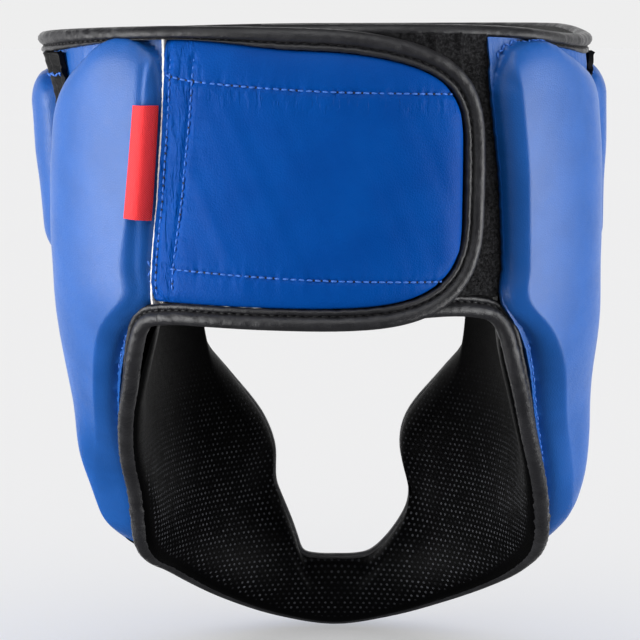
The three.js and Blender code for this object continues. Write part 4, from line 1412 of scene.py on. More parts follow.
@dataclass
class FrontPads:
    """Brow, cheeks and chin: the padded front round the face opening."""

    brow_height: float = 21.0
    brow_side_height: tuple[float, float] = (17.0, 16.5)
    brow_low_more: float = 2.5
    brow_side_low: tuple[float, float, float] = (-100.7, -99.7, -98.7)
    brow_middle_low: float = -71.5
    brow_corner_gap: float = 2.5
    brow_top: float = -12.0
    brow_round: float = 18.0
    cheek_height: tuple[float, float] = (18.0, 14.0)
    cheek_top: float = -101.6
    cheek_round: tuple[float, float] = (16.0, 18.0)
    cheek_jaw_angle: float = 148.5
    chin_height: float = 18.0
    chin_angles: tuple[float, float] = (-149.5, -210.5)
    chin_round: float = 12.0
    end_round: float = 14.0
    seam_gap: float = 0.012
    chin_seam_height: float = -203.0
    thickness: float = 1.6

    def _brow(self, wall: HeadWall) -> PadSkin:
        """Brow pad, from the left gusset round the face to the right one."""
        outer_low, between_low, corner_low = self.brow_side_low
        beside = BESIDE_GUSSET / MM_PER_DEGREE
        halves = []
        for side in Side:
            outer = float(wall.gusset(side, outer_low)) + side.sign * beside
            cheek, _ = wall.opening(CHEEK_EDGE, side, FACE_INSET).at(0.0)
            corner = float(cheek) - side.sign * self.brow_corner_gap
            angle, z = wall.opening(BROW_EDGE, side, BROW_INSET).at(np.arange(7, 0, -1) / 8)
            half = [(outer, outer_low), ((outer + corner) / 2, between_low), (corner, corner_low)]
            halves.append(half + list(zip(angle.tolist(), z.tolist())))
        left, right = halves
        middle = [(-180.0, self.brow_middle_low)]
        low = WallCurve(np.array(left + middle + [(a - FULL_TURN, z) for a, z in reversed(right)]))
        start = float(wall.gusset(Side.LEFT, self.brow_top)) - beside
        end = float(wall.gusset(Side.RIGHT, self.brow_top)) + beside - FULL_TURN
        angle = lerp(start, end, np.linspace(0, 1, 25))
        high = WallCurve(np.stack([angle, wall.rim(angle, WALL_INSET)], 1))
        left_tall, right_tall = self.brow_side_height
        low_tall, tall, high_tall = (
            spread(
                (0, left_tall + more), (0.12, left_tall + more), (0.4, self.brow_height),
                (0.6, self.brow_height), (0.88, right_tall + more), (1, right_tall + more),
            )
            for more in (self.brow_low_more, 0.0, -self.brow_low_more)
        )
        shape = PadShape(
            low_tall, tall, high_tall, steady(self.brow_round),
            spread((0, 14), (0.15, 18), (0.85, 18), (1, 13)), self.brow_round, self.brow_round,
            second_foot=spread((0, 7.8), (0.1, 6), (0.25, 3), (0.75, 3), (0.9, 4.5), (1, 6)),
            seed=3,
        )
        return PadSkin(wall, low, high, shape)

    def _cheek(self, wall: HeadWall, side: Side) -> PadSkin:
        """Cheek pad, between the face opening and a gusset."""
        edge = wall.opening(CHEEK_EDGE, side, FACE_INSET)
        last = edge.share_at_height(self.chin_seam_height) - self.seam_gap
        opening = WallCurve(np.stack(edge.at(np.linspace(self.seam_gap, last, 15)), 1))
        beside = wall.gusset_edge(side, BESIDE_GUSSET, self.cheek_top)
        angle, z = beside.at(np.linspace(0, 0.97, 12))
        jaw = side.sign * np.linspace(abs(float(angle[-1])) + 3, self.cheek_jaw_angle, 6)
        angles = np.concatenate([angle, jaw])
        heights = np.concatenate([z, wall.neck(jaw, WALL_INSET)])
        tall, low = self.cheek_height
        tight, wide = self.cheek_round
        shape = PadShape(
            steady(tall), steady((tall + low) / 2 + 1), steady(low), steady(tight),
            spread((0, wide), (1, tight)), tight, self.end_round, seed=5 + side.sign,
        )
        return PadSkin(wall, opening, WallCurve(np.stack([angles, heights], 1)), shape)

    def _chin(self, wall: HeadWall) -> PadSkin:
        """Chin pad, from one cheek to the other."""
        halves = []
        for side in Side:
            edge = wall.opening(CHEEK_EDGE, side, FACE_INSET)
            first = edge.share_at_height(self.chin_seam_height) + self.seam_gap
            halves.append(np.stack(edge.at(np.linspace(first, 1, 9)), 1))
        left, right = halves
        high = WallCurve(np.vstack([left, (right - (FULL_TURN, 0))[::-1][1:]]))
        angle = np.linspace(*self.chin_angles, 21)
        low = WallCurve(np.stack([angle, wall.neck(angle, WALL_INSET)], 1))
        tall, wide = steady(self.chin_height), steady(self.chin_round)
        shape = PadShape(tall, tall, tall, wide, wide, self.end_round, self.end_round, seed=9)
        return PadSkin(wall, high, low, shape)

    def build(self, shop: Workshop) -> None:
        """Models and dresses the front pads."""
        wall = shop.wall
        jobs = [
            ("brow", self._brow(wall), (230, 80), (320, 90)),
            ("left_cheek", self._cheek(wall, Side.LEFT), (120, 70), (140, 80)),
            ("right_cheek", self._cheek(wall, Side.RIGHT), (120, 70), (140, 80)),
            ("chin", self._chin(wall), (110, 60), (110, 40)),
        ]
        for name, skin, cells, size in jobs:
            surface = skin.crowded(0.35, 0.45)
            obj = shop.skin(f"{name}_leather", surface, cells, size, self.thickness)
            shop.dress(obj, shop.finish.pad, Slot.PAD, f"{name}_pad")


@dataclass
class Gusset:
    """Strip of gathered black cloth between a rear pad and the front."""

    side: Side
    top_shift: float
    top_spread: float
    top_lift: float = 0.6
    stand: float = 2.4
    folds: float = 3.0
    fold_depth: float = 1.1
    sway: float = 0.35
    crumple: float = 0.35
    stitched_at: float = 0.035
    thickness: float = 2.0
    cells: tuple[int, int] = (220, 48)
    flat_size: tuple[float, float] = (200, 11)

    def surface(self, wall: HeadWall) -> Surface:
        """Points of the cloth, with its pleats."""
        half = GUSSET_WIDTH / 2 + 0.4
        back = wall.gusset_edge(self.side, -half, wall.gusset_top)
        front = wall.gusset_edge(self.side, half, wall.gusset_top)

        def place(s: Array, t: Array) -> Array:
            flat = lerp(back.flat(s), front.flat(s), t[..., None])
            upper = 1 - smoothstep(s, 0.0, 0.45)
            front_part = smoothstep(t, 0.55, 0.95)
            behind = self.top_shift * (1 - front_part) + self.top_spread * (1 - t)
            flat[..., 0] -= self.side.sign * upper * behind
            sway = self.sway * ripple(s * 9, 2.0)
            pleat = np.cos(2 * np.pi * (self.folds * t + sway))
            lift = self.stand + self.top_lift * upper + self.fold_depth * pleat * (1 - 0.4 * s)
            lift = lift + self.crumple * ripple(s * 60 + 3 * t, 5.0)
            lift = lift * (1 - 0.65 * upper * front_part)
            return wall.at(flat[..., 0] / MM_PER_DEGREE, flat[..., 1], CLEARANCE + lift)

        return place

    def build(self, shop: Workshop) -> None:
        """Models and dresses the gusset."""
        surface, name = self.surface(shop.wall), f"{self.side.value}_gusset"
        obj = shop.skin(f"{name}_cloth", surface, self.cells, self.flat_size, self.thickness)
        shop.dress(obj, shop.finish.gusset, Slot.GUSSET, name)
        t = np.linspace(0.02, 0.98, 40)
        line = frames_over(surface, np.full_like(t, self.stitched_at), t)
        row = StitchRow(line, pitch=2.0, length=2.6, radius=0.45, lift=0.4, slant=36)
        thread = Stitching(f"{name}_stitching", [row]).build(shop)
        shop.dress(thread, shop.finish.blue_thread, Slot.GUSSET)


class LiningColumns(NamedTuple):
    """Columns of the lining, from the left rear edge round the face to the right one."""

    angle: Array
    low: Array
    high: Array
    front: Array
    swing: Array


@dataclass
class Lining:
    """Soft black lining that faces the head."""

    edge: float = 1.4
    gap: float = 0.95
    inset: float = 1.3
    face_inset: float = 1.9
    rim_round: float = 30.0
    neck_round: float = 26.0
    face_round: float = 20.0
    rear_round: float = 18.0
    rear_angle: dict[Side, float] = field(
        default_factory=lambda: {Side.LEFT: -37.5, Side.RIGHT: 40.0}
    )
    pinch: dict[Side, tuple[float, float]] = field(
        default_factory=lambda: {Side.LEFT: (26.4, -200.0), Side.RIGHT: (32.6, -207.0)}
    )
    pinch_reach: float = 17.0
    pinch_depth: float = 0.9
    side_columns: int = 70
    front_columns: int = 80
    fan: float = 1.6
    crowd: float = 0.4
    low_rows: int = 80
    high_rows: int = 64
    thickness: float = 1.2
    uv_per_degree: float = 1.45
    dots_from: tuple[float, float] = (3.0, 5.0)
    # Depths and side distances over which the painted shade on the dots lifts.
    lit_depth: tuple[float, float] = (140, 205)
    lit_side: tuple[float, float] = (14, 42)

    def _columns(self, wall: HeadWall) -> LiningColumns:
        """Where each column stands, and the opening's edges on it."""
        sides = []
        for side in Side:
            brow = wall.opening(BROW_EDGE, side, self.face_inset)
            cheek = wall.opening(CHEEK_EDGE, side, self.face_inset)
            brow_angle, brow_z = brow.at(np.linspace(0, 1, 2000))
            first_angle, first_z = cheek.at(0.0)
            corner = min(abs(first_angle), abs(brow_angle[-1]))
            beside = np.linspace(abs(self.rear_angle[side]), corner, self.side_columns + 1)
            ahead = np.linspace(0, 1, self.front_columns + 1)[1:]
            turn = np.concatenate([beside, lerp(corner, 180, ahead**self.fan)])
            along = np.concatenate([beside * 0, ahead])
            low_angle, low = cheek.at(along)
            high = np.interp(turn, np.abs(brow_angle)[::-1], brow_z[::-1])
            middle = lerp(float(first_z), float(brow_z[-1]), 0.5)
            sides.append(
                LiningColumns(
                    side.sign * turn,
                    lerp(middle, low, smoothstep(along, 0, 0.035)),
                    lerp(middle, high, smoothstep(turn, corner, corner + 1.5)),
                    np.clip(turn - corner, 0, None),
                    np.where(turn > corner, low_angle - side.sign * turn, 0.0),
                )
            )
        left, right = sides
        right = right._replace(angle=right.angle - FULL_TURN)
        return LiningColumns(*(np.concatenate([a, b[::-1][1:]]) for a, b in zip(left, right)))

    def _depth(
        self, wall: HeadWall, angle: Array, z: Array, from_face: Array, front: Array
    ) -> Array:
        """Thickness of the padding.

        Args:
            wall: The wall that the lining backs.
            angle: Angle of each point.
            z: Height of each point.
            from_face: Distance of each point from the face opening.
            front: Degrees past the opening's corner.

        Returns:
            Millimetres from the wall in to the lining's face.
        """
        turn = wall.wrapped(angle)
        left, right = abs(self.rear_angle[Side.LEFT]), self.rear_angle[Side.RIGHT]
        from_rear = np.where(turn < 0, np.abs(turn) - left, turn - right) * MM_PER_DEGREE
        near = [
            np.clip(1 - (wall.rim(angle, self.inset) - z) / self.rim_round, 0, 1),
            np.clip(1 - (z - wall.neck(angle, self.inset)) / self.neck_round, 0, 1),
            np.clip(1 - from_rear / self.rear_round, 0, 1),
            np.clip(1 - from_face / self.face_round, 0, 1) * smoothstep(front, 0, 3),
        ]
        crown = np.sqrt(np.prod([1 - q**2 for q in near], axis=0))
        for side, (x, height) in self.pinch.items():
            beside = (turn - wall.front_angle(x, height, side)) * MM_PER_DEGREE
            away = np.hypot(beside, z - height) / self.pinch_reach
            crown *= 1 - self.pinch_depth * np.exp(-(away**2))
        return self.edge + (wall.hollow_depth(angle, z) - self.edge) * crown

    def _half(self, wall: HeadWall, columns: LiningColumns, upper: bool) -> bpy.types.Object:
        """The lining above the face opening, or below it."""
        index = np.linspace(0, 1, len(columns.angle))
        name, rows = ("lining_top", self.high_rows) if upper else ("lining_cloth", self.low_rows)
        obj = Bench.grid(name, len(index) - 1, rows)

        def turned(s: Array, t: Array) -> Array:
            swing = np.interp(s, index, columns.swing) * (1 - ease(t, self.crowd)) ** 2
            return np.interp(s, index, columns.angle) + (0.0 if upper else swing)

        def place(s: Array, t: Array) -> Array:
            angle = turned(s, t)
            face = np.interp(s, index, columns.high if upper else columns.low)
            edge = wall.rim(angle, self.inset) if upper else wall.neck(angle, self.inset)
            z = lerp(face, edge, ease(t, self.crowd))
            front = np.interp(s, index, columns.front)
            depth = self._depth(wall, angle, z, np.abs(z - face), front)
            return wall.at(angle, z, -self.gap - depth)

        s, t = Bench.drape(obj, place, (1, 1))
        angle, points = turned(s, t), place(s, t)
        x, z = points[:, 0], points[:, 2]
        Bench.flatten(obj, np.stack([angle * self.uv_per_degree, z], 1))
        border = np.minimum(z - wall.neck(angle, self.inset), wall.rim(angle, self.inset) - z)
        # Painted shade: the pale dots fade higher up and near the middle, where the strap and pads
        # shade the lining.
        lit = lerp(0.03, 1.0, smoothstep(-z, *self.lit_depth))
        lit = lit * lerp(0.35, 1.0, smoothstep(np.abs(x), *self.lit_side))
        Bench.mark(obj, "dots_dimmed_by_painted_shade", smoothstep(border, *self.dots_from) * lit)
        Bench.face_away(obj, points, way=-1)
        return obj

    def build(self, shop: Workshop) -> None:
        """Models and dresses the lining."""
        columns = self._columns(shop.wall)
        lower, upper = (self._half(shop.wall, columns, high) for high in (False, True))
        Bench.select_only(lower)
        upper.select_set(True)
        bpy.ops.object.join()
        lining = bpy.context.active_object
        Bench.edit(lining, lambda: bpy.ops.mesh.remove_doubles(threshold=2e-5))
        Bench.thicken(lining, self.thickness)
        Bench.soften(lining, 70)
        shop.dress(lining, shop.finish.lining, Slot.LINING, "lining")


@dataclass
class Strap:
    """Wide leather closure strap, sewn at the left and pressed down at the right."""

    base: float = 0.3
    thickness: float = 7.0
    leather: float = 1.8
    edge: float = 3.4
    edge_round: float = 9.0
    top_ease: float = 0.6
    seam_gap: float = 1.3
    start_angle: float = -31.5
    end_angle: float = STRAP_OUTLINE[-1].angle
    cells: tuple[int, int] = (230, 180)
    flat_size: tuple[float, float] = (118, 95)
    crowd: float = 0.2
    groove: float = 0.55
    groove_width: float = 1.1
    dent: float = 0.35
    pucker: float = 0.22
    pucker_width: float = 4.5
    sag: float = 0.25
    under_tape: float = 3.4
    stitch_pitch: float = 2.95

    UPRIGHT_TOP = -11.5
    UPRIGHT_ROWS = ((3.2, 2.8, -101.0), (11.2, 9.4, -99.0))
    LEVEL_ANGLES = (-31.5, -24.0, -2.0, 25.4)
    LEVEL_ROWS = ((-18.6, -21.3, -24.4, -25.6), (-90.6, -91.4, -93.6, -94.8))

    def angle_at(self, wall: HeadWall, s: Array, z: Array) -> Array:
        """Angle at a share of the way from the sewn end to the tip."""
        start = wall.seam(Side.LEFT, z) + self.seam_gap / MM_PER_DEGREE
        return lerp(start, self.end_angle, s)

    def stitch_lines(self, wall: HeadWall) -> list[Array]:
        """Lines of stitching as rows of angle and height."""
        lines = []
        for gap_top, gap_low, low in self.UPRIGHT_ROWS:
            z = np.linspace(self.UPRIGHT_TOP, low, 60)
            gap = lerp(gap_top, gap_low, np.linspace(0, 1, 60))
            lines.append(np.stack([wall.seam(Side.LEFT, z) + gap / MM_PER_DEGREE, z], 1))
        for heights in self.LEVEL_ROWS:
            curve = WallCurve(np.stack([self.LEVEL_ANGLES, heights], 1))
            lines.append(np.stack(curve.at(np.linspace(0, 1, 120)), 1))
        return lines

    @staticmethod
    def _nearness(line: Array, angle: Array, z: Array) -> tuple[Array, Array]:
        """Distance to a stitch line, and the distance walked along it."""
        flat = line * (MM_PER_DEGREE, 1.0)
        spots = np.stack([angle * MM_PER_DEGREE, z], 1)
        walked = walked_along(flat)
        best = np.full(len(spots), np.inf)
        along = np.zeros(len(spots))
        for k in range(len(flat) - 1):
            leg = flat[k + 1] - flat[k]
            share = np.clip(((spots - flat[k]) @ leg) / (leg @ leg), 0, 1)
            away = np.linalg.norm(spots - flat[k] - share[:, None] * leg, axis=1)
            closer = away < best
            best[closer] = away[closer]
            along[closer] = walked[k] + share[closer] * (walked[k + 1] - walked[k])
        return best, along

    def _stand(self, to_edge: Array) -> tuple[Array, Array]:
        """How far the face stands out at a distance from the edge, and its nearness."""
        near = np.clip(1 - to_edge / self.edge_round, 0, 1)
        return self.edge + (self.thickness - self.edge) * np.sqrt(1 - near**2), near

    def place(self, wall: HeadWall, s: Array, t: Array) -> tuple[Array, Array, Array]:
        """Angle, height and standing of points of the strap's face."""
        rough_angle = lerp(self.start_angle, self.end_angle, s)
        top, bottom = wall.strap_top(rough_angle), wall.strap_bottom(rough_angle)
        top = top + self.under_tape * (1 - smoothstep(rough_angle, -30, -4))
        z = lerp(top, bottom, t)
        angle = self.angle_at(wall, s, z)
        to_edge = np.minimum((top - z) * self.top_ease, z - bottom)
        stand, near = self._stand(np.minimum(to_edge, (self.end_angle - angle) * 1.8))
        stand = stand + self.sag * ripple(angle / 11 + z / 47, 3.0) * (1 - near)
        return angle, z, self.base + stand

    def surface(self, wall: HeadWall) -> Surface:
        """Points of the strap's face, pulled in along its stitches."""
        lines = self.stitch_lines(wall)

        def points(s: Array, t: Array) -> Array:
            angle, z, stand = self.place(wall, ease(s, self.crowd), ease(t, self.crowd))
            for k, line in enumerate(lines):
                away, along = self._nearness(line, angle, z)
                pull = np.exp(-((away / self.groove_width) ** 2))
                turn = np.cos(2 * np.pi * along / self.stitch_pitch)
                stand = stand - pull * (self.groove - self.dent * turn * 0.5)
                pucker = np.exp(-((away / self.pucker_width) ** 2)) * ripple(along / 6.5, 1.3 + k)
                stand = stand + self.pucker * pucker
            return wall.at(angle, z, stand)

        return points

    def build(self, shop: Workshop) -> None:
        """Models and dresses the strap with its stitching."""
        wall = shop.wall
        surface = self.surface(wall)

        def crease(s: Array, t: Array) -> Array:
            angle, z, _ = self.place(wall, ease(s, self.crowd), ease(t, self.crowd))
            from_seam = (angle - wall.seam(Side.LEFT, z)) * MM_PER_DEGREE
            left = smoothstep(-from_seam, -17, -4)
            line = np.interp(angle, self.LEVEL_ANGLES, self.LEVEL_ROWS[0])
            under = np.exp(-(((line - 4 - z) / 4.0) ** 2))
            return np.clip(0.9 * left + 0.5 * under, 0, 1)

        obj = shop.skin(
            "strap_leather", surface, self.cells, self.flat_size, self.leather, crease
        )
        shop.dress(obj, shop.finish.strap, Slot.STRAP, "closure_strap")
        rows = []
        for line in self.stitch_lines(wall):
            angle, z = line[:, 0], line[:, 1]
            to_top = (wall.strap_top(angle) - z) * self.top_ease
            stand, _ = self._stand(np.minimum(to_top, z - wall.strap_bottom(angle)))
            frames = frames_on(wall, angle, z, self.base + stand - self.groove)
            rows.append(StitchRow(frames, pitch=self.stitch_pitch, length=2.3, lift=0.12))
        stitching = Stitching("strap_stitching", rows)
        shop.dress(stitching.build(shop), shop.finish.blue_thread, Slot.STRAP)
        # Dark discs of painted shade over the needle holes.
        shop.dress(stitching.build(shop, hole_shade_discs=True), shop.finish.hole_shade, Slot.STRAP)


@dataclass
class EdgeTape:
    """Black tape folded over the edges of the leather: a roll and a stitched flange."""

    step: float = 1.3
    strap_outset: float = 4.3
    strap_offset: float = 3.85
    under_strap: float = -3.9
    stitch_pitch: float = 3.2
    stitch_row: float = 1.6
    stitch_out: float = 0.9
    pinch: float = 0.26
    gather: float = 0.055
    crumple: float = 0.25
    crumpled: tuple[tuple[float, float, float], ...] = (
        (-92, -6, 17), (-57, -111, 7), (61, -124, 9),
        (-67, -198, 14), (77, -198, 14), (-50, -208, 9),
    )
    face_middle: float = FACE_TAPE_WIDTH / 2

    SECTION = (
        (-4.1, 0.0), (-4.0, 1.35), (-3.4, 2.0), (-2.6, 2.05), (-2.0, 1.6), (-1.6, 0.7),
        (-1.2, 1.6), (-0.5, 2.65), (0.7, 3.2), (2.0, 3.15), (3.1, 2.45), (3.85, 1.3),
    )

    @staticmethod
    def _scale(width: float) -> tuple[float, float]:
        """How a tape's section grows across and out with its width."""
        return width / TAPE_WIDTH, 0.55 + 0.45 * width / TAPE_WIDTH

    def section(self, width: float) -> Array:
        """Closed outline of the folded tape: across and out, in millimetres."""
        half = np.array(self.SECTION)
        tip = half[:1] * (-1, 1)
        ring = np.vstack([half, tip, half[:0:-1] * (1, -1)])
        return np.vstack([ring, ring[:1]]) * self._scale(width)

    @staticmethod
    def _tuck(name: str, angle: Array, z: Array) -> Array:
        """Share of the flange that is folded away along the rim near the closure."""
        turn = HeadWall.wrapped(angle)
        right = lerp(0.8, 0.55, smoothstep(turn, 35, 55)) * (1 - smoothstep(turn, 55, 76))
        right = right * smoothstep(turn, 14, 24) * (name == "rim_binding")
        left = 0.75 * (1 - smoothstep(-turn, 35, 70)) * (1 - smoothstep(turn, -30, -4))
        return np.where(turn > 0, right, left) * (z > -40)

    def _sink(self, angle: Array) -> Array:
        """How far the right flap lies under the strap."""
        turn = HeadWall.wrapped(angle)
        share = smoothstep(46 - turn, 0, 10) * (turn > -16)
        return self.under_strap * share

    def _strap_line(self, wall: HeadWall) -> Array:
        """Line round the strap at the tape's distance, from top left to bottom left."""
        angle = lerp(-31.4, STRAP_OUTLINE[-1].angle, np.linspace(0, 1, 60))
        top = np.stack([angle, wall.strap_top(angle)], 1)
        bottom = np.stack([angle, wall.strap_bottom(angle)], 1)[::-1]
        edge = WallCurve(np.vstack([top, bottom]))
        share = np.linspace(0, 1, 400)
        along = unit(edge.flat(share + 2e-3) - edge.flat(share - 2e-3))
        outward = np.stack([-along[:, 1], along[:, 0]], 1)
        return (edge.flat(share) + outward * self.strap_outset) / (MM_PER_DEGREE, 1)

    def _weights(self, count: int, reach: float) -> Array:
        """Shares of a soft average over neighbours on both sides."""
        weight = np.exp(-((np.arange(-count, count + 1) * self.step / reach) ** 2))
        return weight / weight.sum()

    def runs(self, wall: HeadWall) -> dict[str, tuple[Array, Array, Array]]:
        """Angles, heights and offsets of the tape along rim, strap and neck.

        Returns:
            One run for each piece; they follow each other as one line.
        """
        count = 900
        rim_angle = np.linspace(FLAP_FREE_ANGLE, 324.5, count)
        strap = self._strap_line(wall)
        neck_angle = np.linspace(321.5, FLAP_FREE_ANGLE, count)
        angle = np.concatenate([rim_angle, strap[:, 0] + FULL_TURN, neck_angle])
        z = np.concatenate(
            [wall.rim(rim_angle, HALF_TAPE), strap[:, 1], wall.neck(neck_angle, HALF_TAPE)]
        )
        offset = np.concatenate(
            [
                lerp(self._sink(rim_angle), self.strap_offset, smoothstep(rim_angle, 312, 325)),
                np.full(len(strap), self.strap_offset),
                lerp(self._sink(neck_angle), self.strap_offset, smoothstep(neck_angle, 305, 321)),
            ]
        )
        marks = np.concatenate([np.zeros(count), np.ones(len(strap)), np.full(count, 2.0)])
        flat = np.stack([angle * MM_PER_DEGREE, z, offset, marks], 1)
        walked = walked_along(flat[:, :2])
        line = between(np.arange(0, walked[-1], self.step), walked, flat)
        beside = 6
        weight = self._weights(beside, 4.0)
        padded = np.vstack([line[:1].repeat(beside, 0), line, line[-1:].repeat(beside, 0)])
        soft = np.stack([np.convolve(padded[:, k], weight, "valid") for k in range(3)], 1)
        names = ("rim_binding", "strap_binding", "neck_binding")
        owner = np.clip(np.round(line[:, 3]), 0, 2).astype(int)
        runs = {}
        for k, name in enumerate(names):
            rows = np.flatnonzero(owner == k)
            rows = np.arange(rows[0], min(rows[-1] + 2, len(soft)))
            runs[name] = (soft[rows, 0] / MM_PER_DEGREE, soft[rows, 1], soft[rows, 2])
        return runs

    def _tube(
        self, shop: Workshop, name: str, frames: Frames, width: float, closed: bool, tuck: Array
    ) -> bpy.types.Object:
        """One run of the tape, gathered and pinched along its stitches."""
        section = self.section(width)
        count = len(frames.point)
        walked = walked_along(frames.point)
        obj = Bench.grid(name.replace("binding", "tape"), count - 1, len(section) - 1)
        index, around = np.linspace(0, 1, count), np.linspace(0, 1, len(section))

        def place(s: Array, t: Array) -> Array:
            shape = between(t, around, section)
            walk = np.interp(s, index, walked)
            if closed:
                walk = np.where(s > 1 - 1e-6, 0.0, walk)
            roll = smoothstep(shape[:, 0], -self.stitch_row, 0.2)
            swell = 1 + self.gather * ripple(walk / 5.2, 1.1) * roll
            swell += 0.35 * self.gather * ripple(walk / 2.1, 6.0) * roll
            point, out_way = between(s, index, frames.point), between(s, index, frames.out)
            for x, z, reach in self.crumpled:
                near = np.exp(-(((point[:, 0] - x) ** 2 + (point[:, 2] - z) ** 2) / reach**2))
                near *= (point[:, 1] < 30) * (0.4 + 0.6 * roll)
                waves = ripple(walk / 6.5 + shape[:, 0] * 0.2, x + 0.5)
                swell += self.crumple * near * waves
            pinch = np.exp(-((shape[:, 0] + self.stitch_row) ** 2))
            pinch *= self.pinch * (1 - np.cos(2 * np.pi * walk / self.stitch_pitch)) / 2
            out = shape[:, 1] * (swell - pinch)
            side = shape[:, 0] + 0.16 * ripple(walk / 6.0, 3.3) * (1 - roll)
            side = np.where(side < 0, side * (1 - np.interp(s, index, tuck)), side)
            beside = between(s, index, frames.across)
            return point + beside * side[:, None] + out_way * out[:, None]

        Bench.drape(obj, place, (float(walked[-1]), 24))
        Bench.close_tube(obj, cap=not closed)
        Bench.soften(obj, 60)
        return shop.dress(obj, shop.finish.tape, Slot.BINDING, name)

    def _stitches(self, frames: Frames, width: float, tuck: Array) -> StitchRow:
        """The row of stitches in a tape's groove."""
        wide, thick = self._scale(width)
        groove = frames.point - frames.across * self.stitch_row * wide * (1 - tuck)[:, None]
        groove = groove + frames.out * self.stitch_out * thick
        line = frames._replace(point=groove)
        return StitchRow(line, pitch=self.stitch_pitch, length=2.3, radius=0.34, lift=0.14)

    def build(self, shop: Workshop) -> None:
        """Models and dresses every run of the tape."""
        rows = []
        for name, (angle, z, offset) in self.runs(shop.wall).items():
            frames = frames_on(shop.wall, angle, z, offset)
            tuck = self._tuck(name, angle, z)
            self._tube(shop, name, frames, TAPE_WIDTH, False, tuck)
            rows.append(self._stitches(frames, TAPE_WIDTH, tuck))
        frames = self._face_frames(shop.wall)
        plain = np.zeros(len(frames.point))
        self._tube(shop, "face_binding", frames, FACE_TAPE_WIDTH, True, plain)
        rows.append(self._stitches(frames, FACE_TAPE_WIDTH, plain))
        stitching = Stitching("binding_stitching", rows)
        shop.dress(stitching.build(shop), shop.finish.black_thread, Slot.BINDING)

    def _face_frames(self, wall: HeadWall) -> Frames:
        """Closed line round the face opening, in the middle of its tape."""
        share = np.linspace(0, 1, 120)
        parts = []
        for side in Side:
            edges = [wall.opening(rows, side, self.face_middle) for rows in (BROW_EDGE, CHEEK_EDGE)]
            half = np.vstack([np.stack(edge.at(share), 1) for edge in edges])
            half[:, 0] = np.where(half[:, 0] > 0, half[:, 0], half[:, 0] + FULL_TURN)
            parts.append(half if side is Side.LEFT else half[::-1])
        loop = np.vstack(parts) * (MM_PER_DEGREE, 1.0)
        walked = walked_along(loop)
        even = np.linspace(0, walked[-1], int(walked[-1] / self.step) + 1)
        line = between(even, walked, loop)[:-1]
        beside = 5
        shares = enumerate(self._weights(beside, 3.5))
        soft = sum(share * np.roll(line, beside - k, axis=0) for k, share in shares)
        soft = np.vstack([soft, soft[:1]])[::-1]
        angle, z = soft[:, 0] / MM_PER_DEGREE, soft[:, 1]
        return frames_on(wall, angle, z, np.zeros(len(soft)), closed=True)


@dataclass
class LoopPatch:
    """Looped tape on the right flap, which the strap presses on to."""

    offset: float = -0.3
    thickness: float = 3.4
    under_rim: float = 3.4
    over_neck: float = WALL_INSET - 0.3
    cells: tuple[int, int] = (110, 150)
    flat_size: tuple[float, float] = (85, 100)
    folds: tuple[float, ...] = (22.5, 28.0)
    fold_height: float = 0.9
    fold_width: float = 1.2
    fibres: int = 2600
    fibre_root: float = 0.3
    fibre_half: float = 0.09
    fibre_taper: float = 0.4

    def surface(self, wall: HeadWall) -> Surface:
        """Points of the patch's face."""

        def place(s: Array, t: Array) -> Array:
            s, t = np.asarray(s, float), np.asarray(t, float)
            rough = lerp(FLAP_FREE_ANGLE, 36.0, s)
            z = lerp(wall.rim(rough, self.under_rim), wall.neck(rough, self.over_neck), t)
            angle = lerp(FLAP_FREE_ANGLE, wall.seam(Side.RIGHT, z) + 0.5, s)
            bump = 0.25 * ripple(angle / 3.1 + z / 13, 2.0) + 0.2 * ripple(z / 4.3 + angle / 9, 7.0)
            top = self.fold_height * smoothstep(z, -24, -14)
            for fold in self.folds:
                away = (angle - fold) * MM_PER_DEGREE / self.fold_width
                bump = bump + top * np.exp(-(away**2))
            return wall.at(angle, z, self.offset + bump)

        return place

    def _pile(self, shop: Workshop, surface: Surface) -> bpy.types.Object:
        """Short bent fibres that stand out of the patch."""
        rng = shop.random
        s, t = rng.uniform(0.55, 0.995, self.fibres), rng.uniform(0.1, 0.99, self.fibres)
        foot, _, out = frames_over(surface, s, t)
        level = unit(np.stack([-out[:, 1], out[:, 0], np.zeros(self.fibres)], 1))
        up = np.cross(out, level)
        turn = rng.uniform(0, 2 * np.pi, self.fibres)[:, None]
        lean = level * np.cos(turn) + up * np.sin(turn)
        beside = np.cross(out, lean) * self.fibre_half
        long = rng.uniform(0.7, 1.7, self.fibres)[:, None]
        rows = (
            (foot - out * self.fibre_root, beside),
            (foot + out * long * 0.6 + lean * long * 0.35, beside),
            (foot + out * long * 0.45 + lean * long, beside * self.fibre_taper),
        )
        corners = [middle + way * half for middle, half in rows for way in (-1, 1)]
        verts = np.stack(corners, 1).reshape(-1, 3) * MM
        firsts = [first + k for first in range(0, len(verts), len(corners)) for k in (0, 2)]
        faces = [(first, first + 1, first + 3, first + 2) for first in firsts]
        return Bench.mesh("loop_pile", verts.tolist(), faces)

    def build(self, shop: Workshop) -> None:
        """Models and dresses the patch and its pile."""
        surface = self.surface(shop.wall)
        obj = shop.skin("loop_tape", surface, self.cells, self.flat_size, self.thickness)
        shop.dress(obj, shop.finish.loop, Slot.LOOP, "loop_patch")
        shop.dress(self._pile(shop, surface), shop.finish.loop, Slot.LOOP)


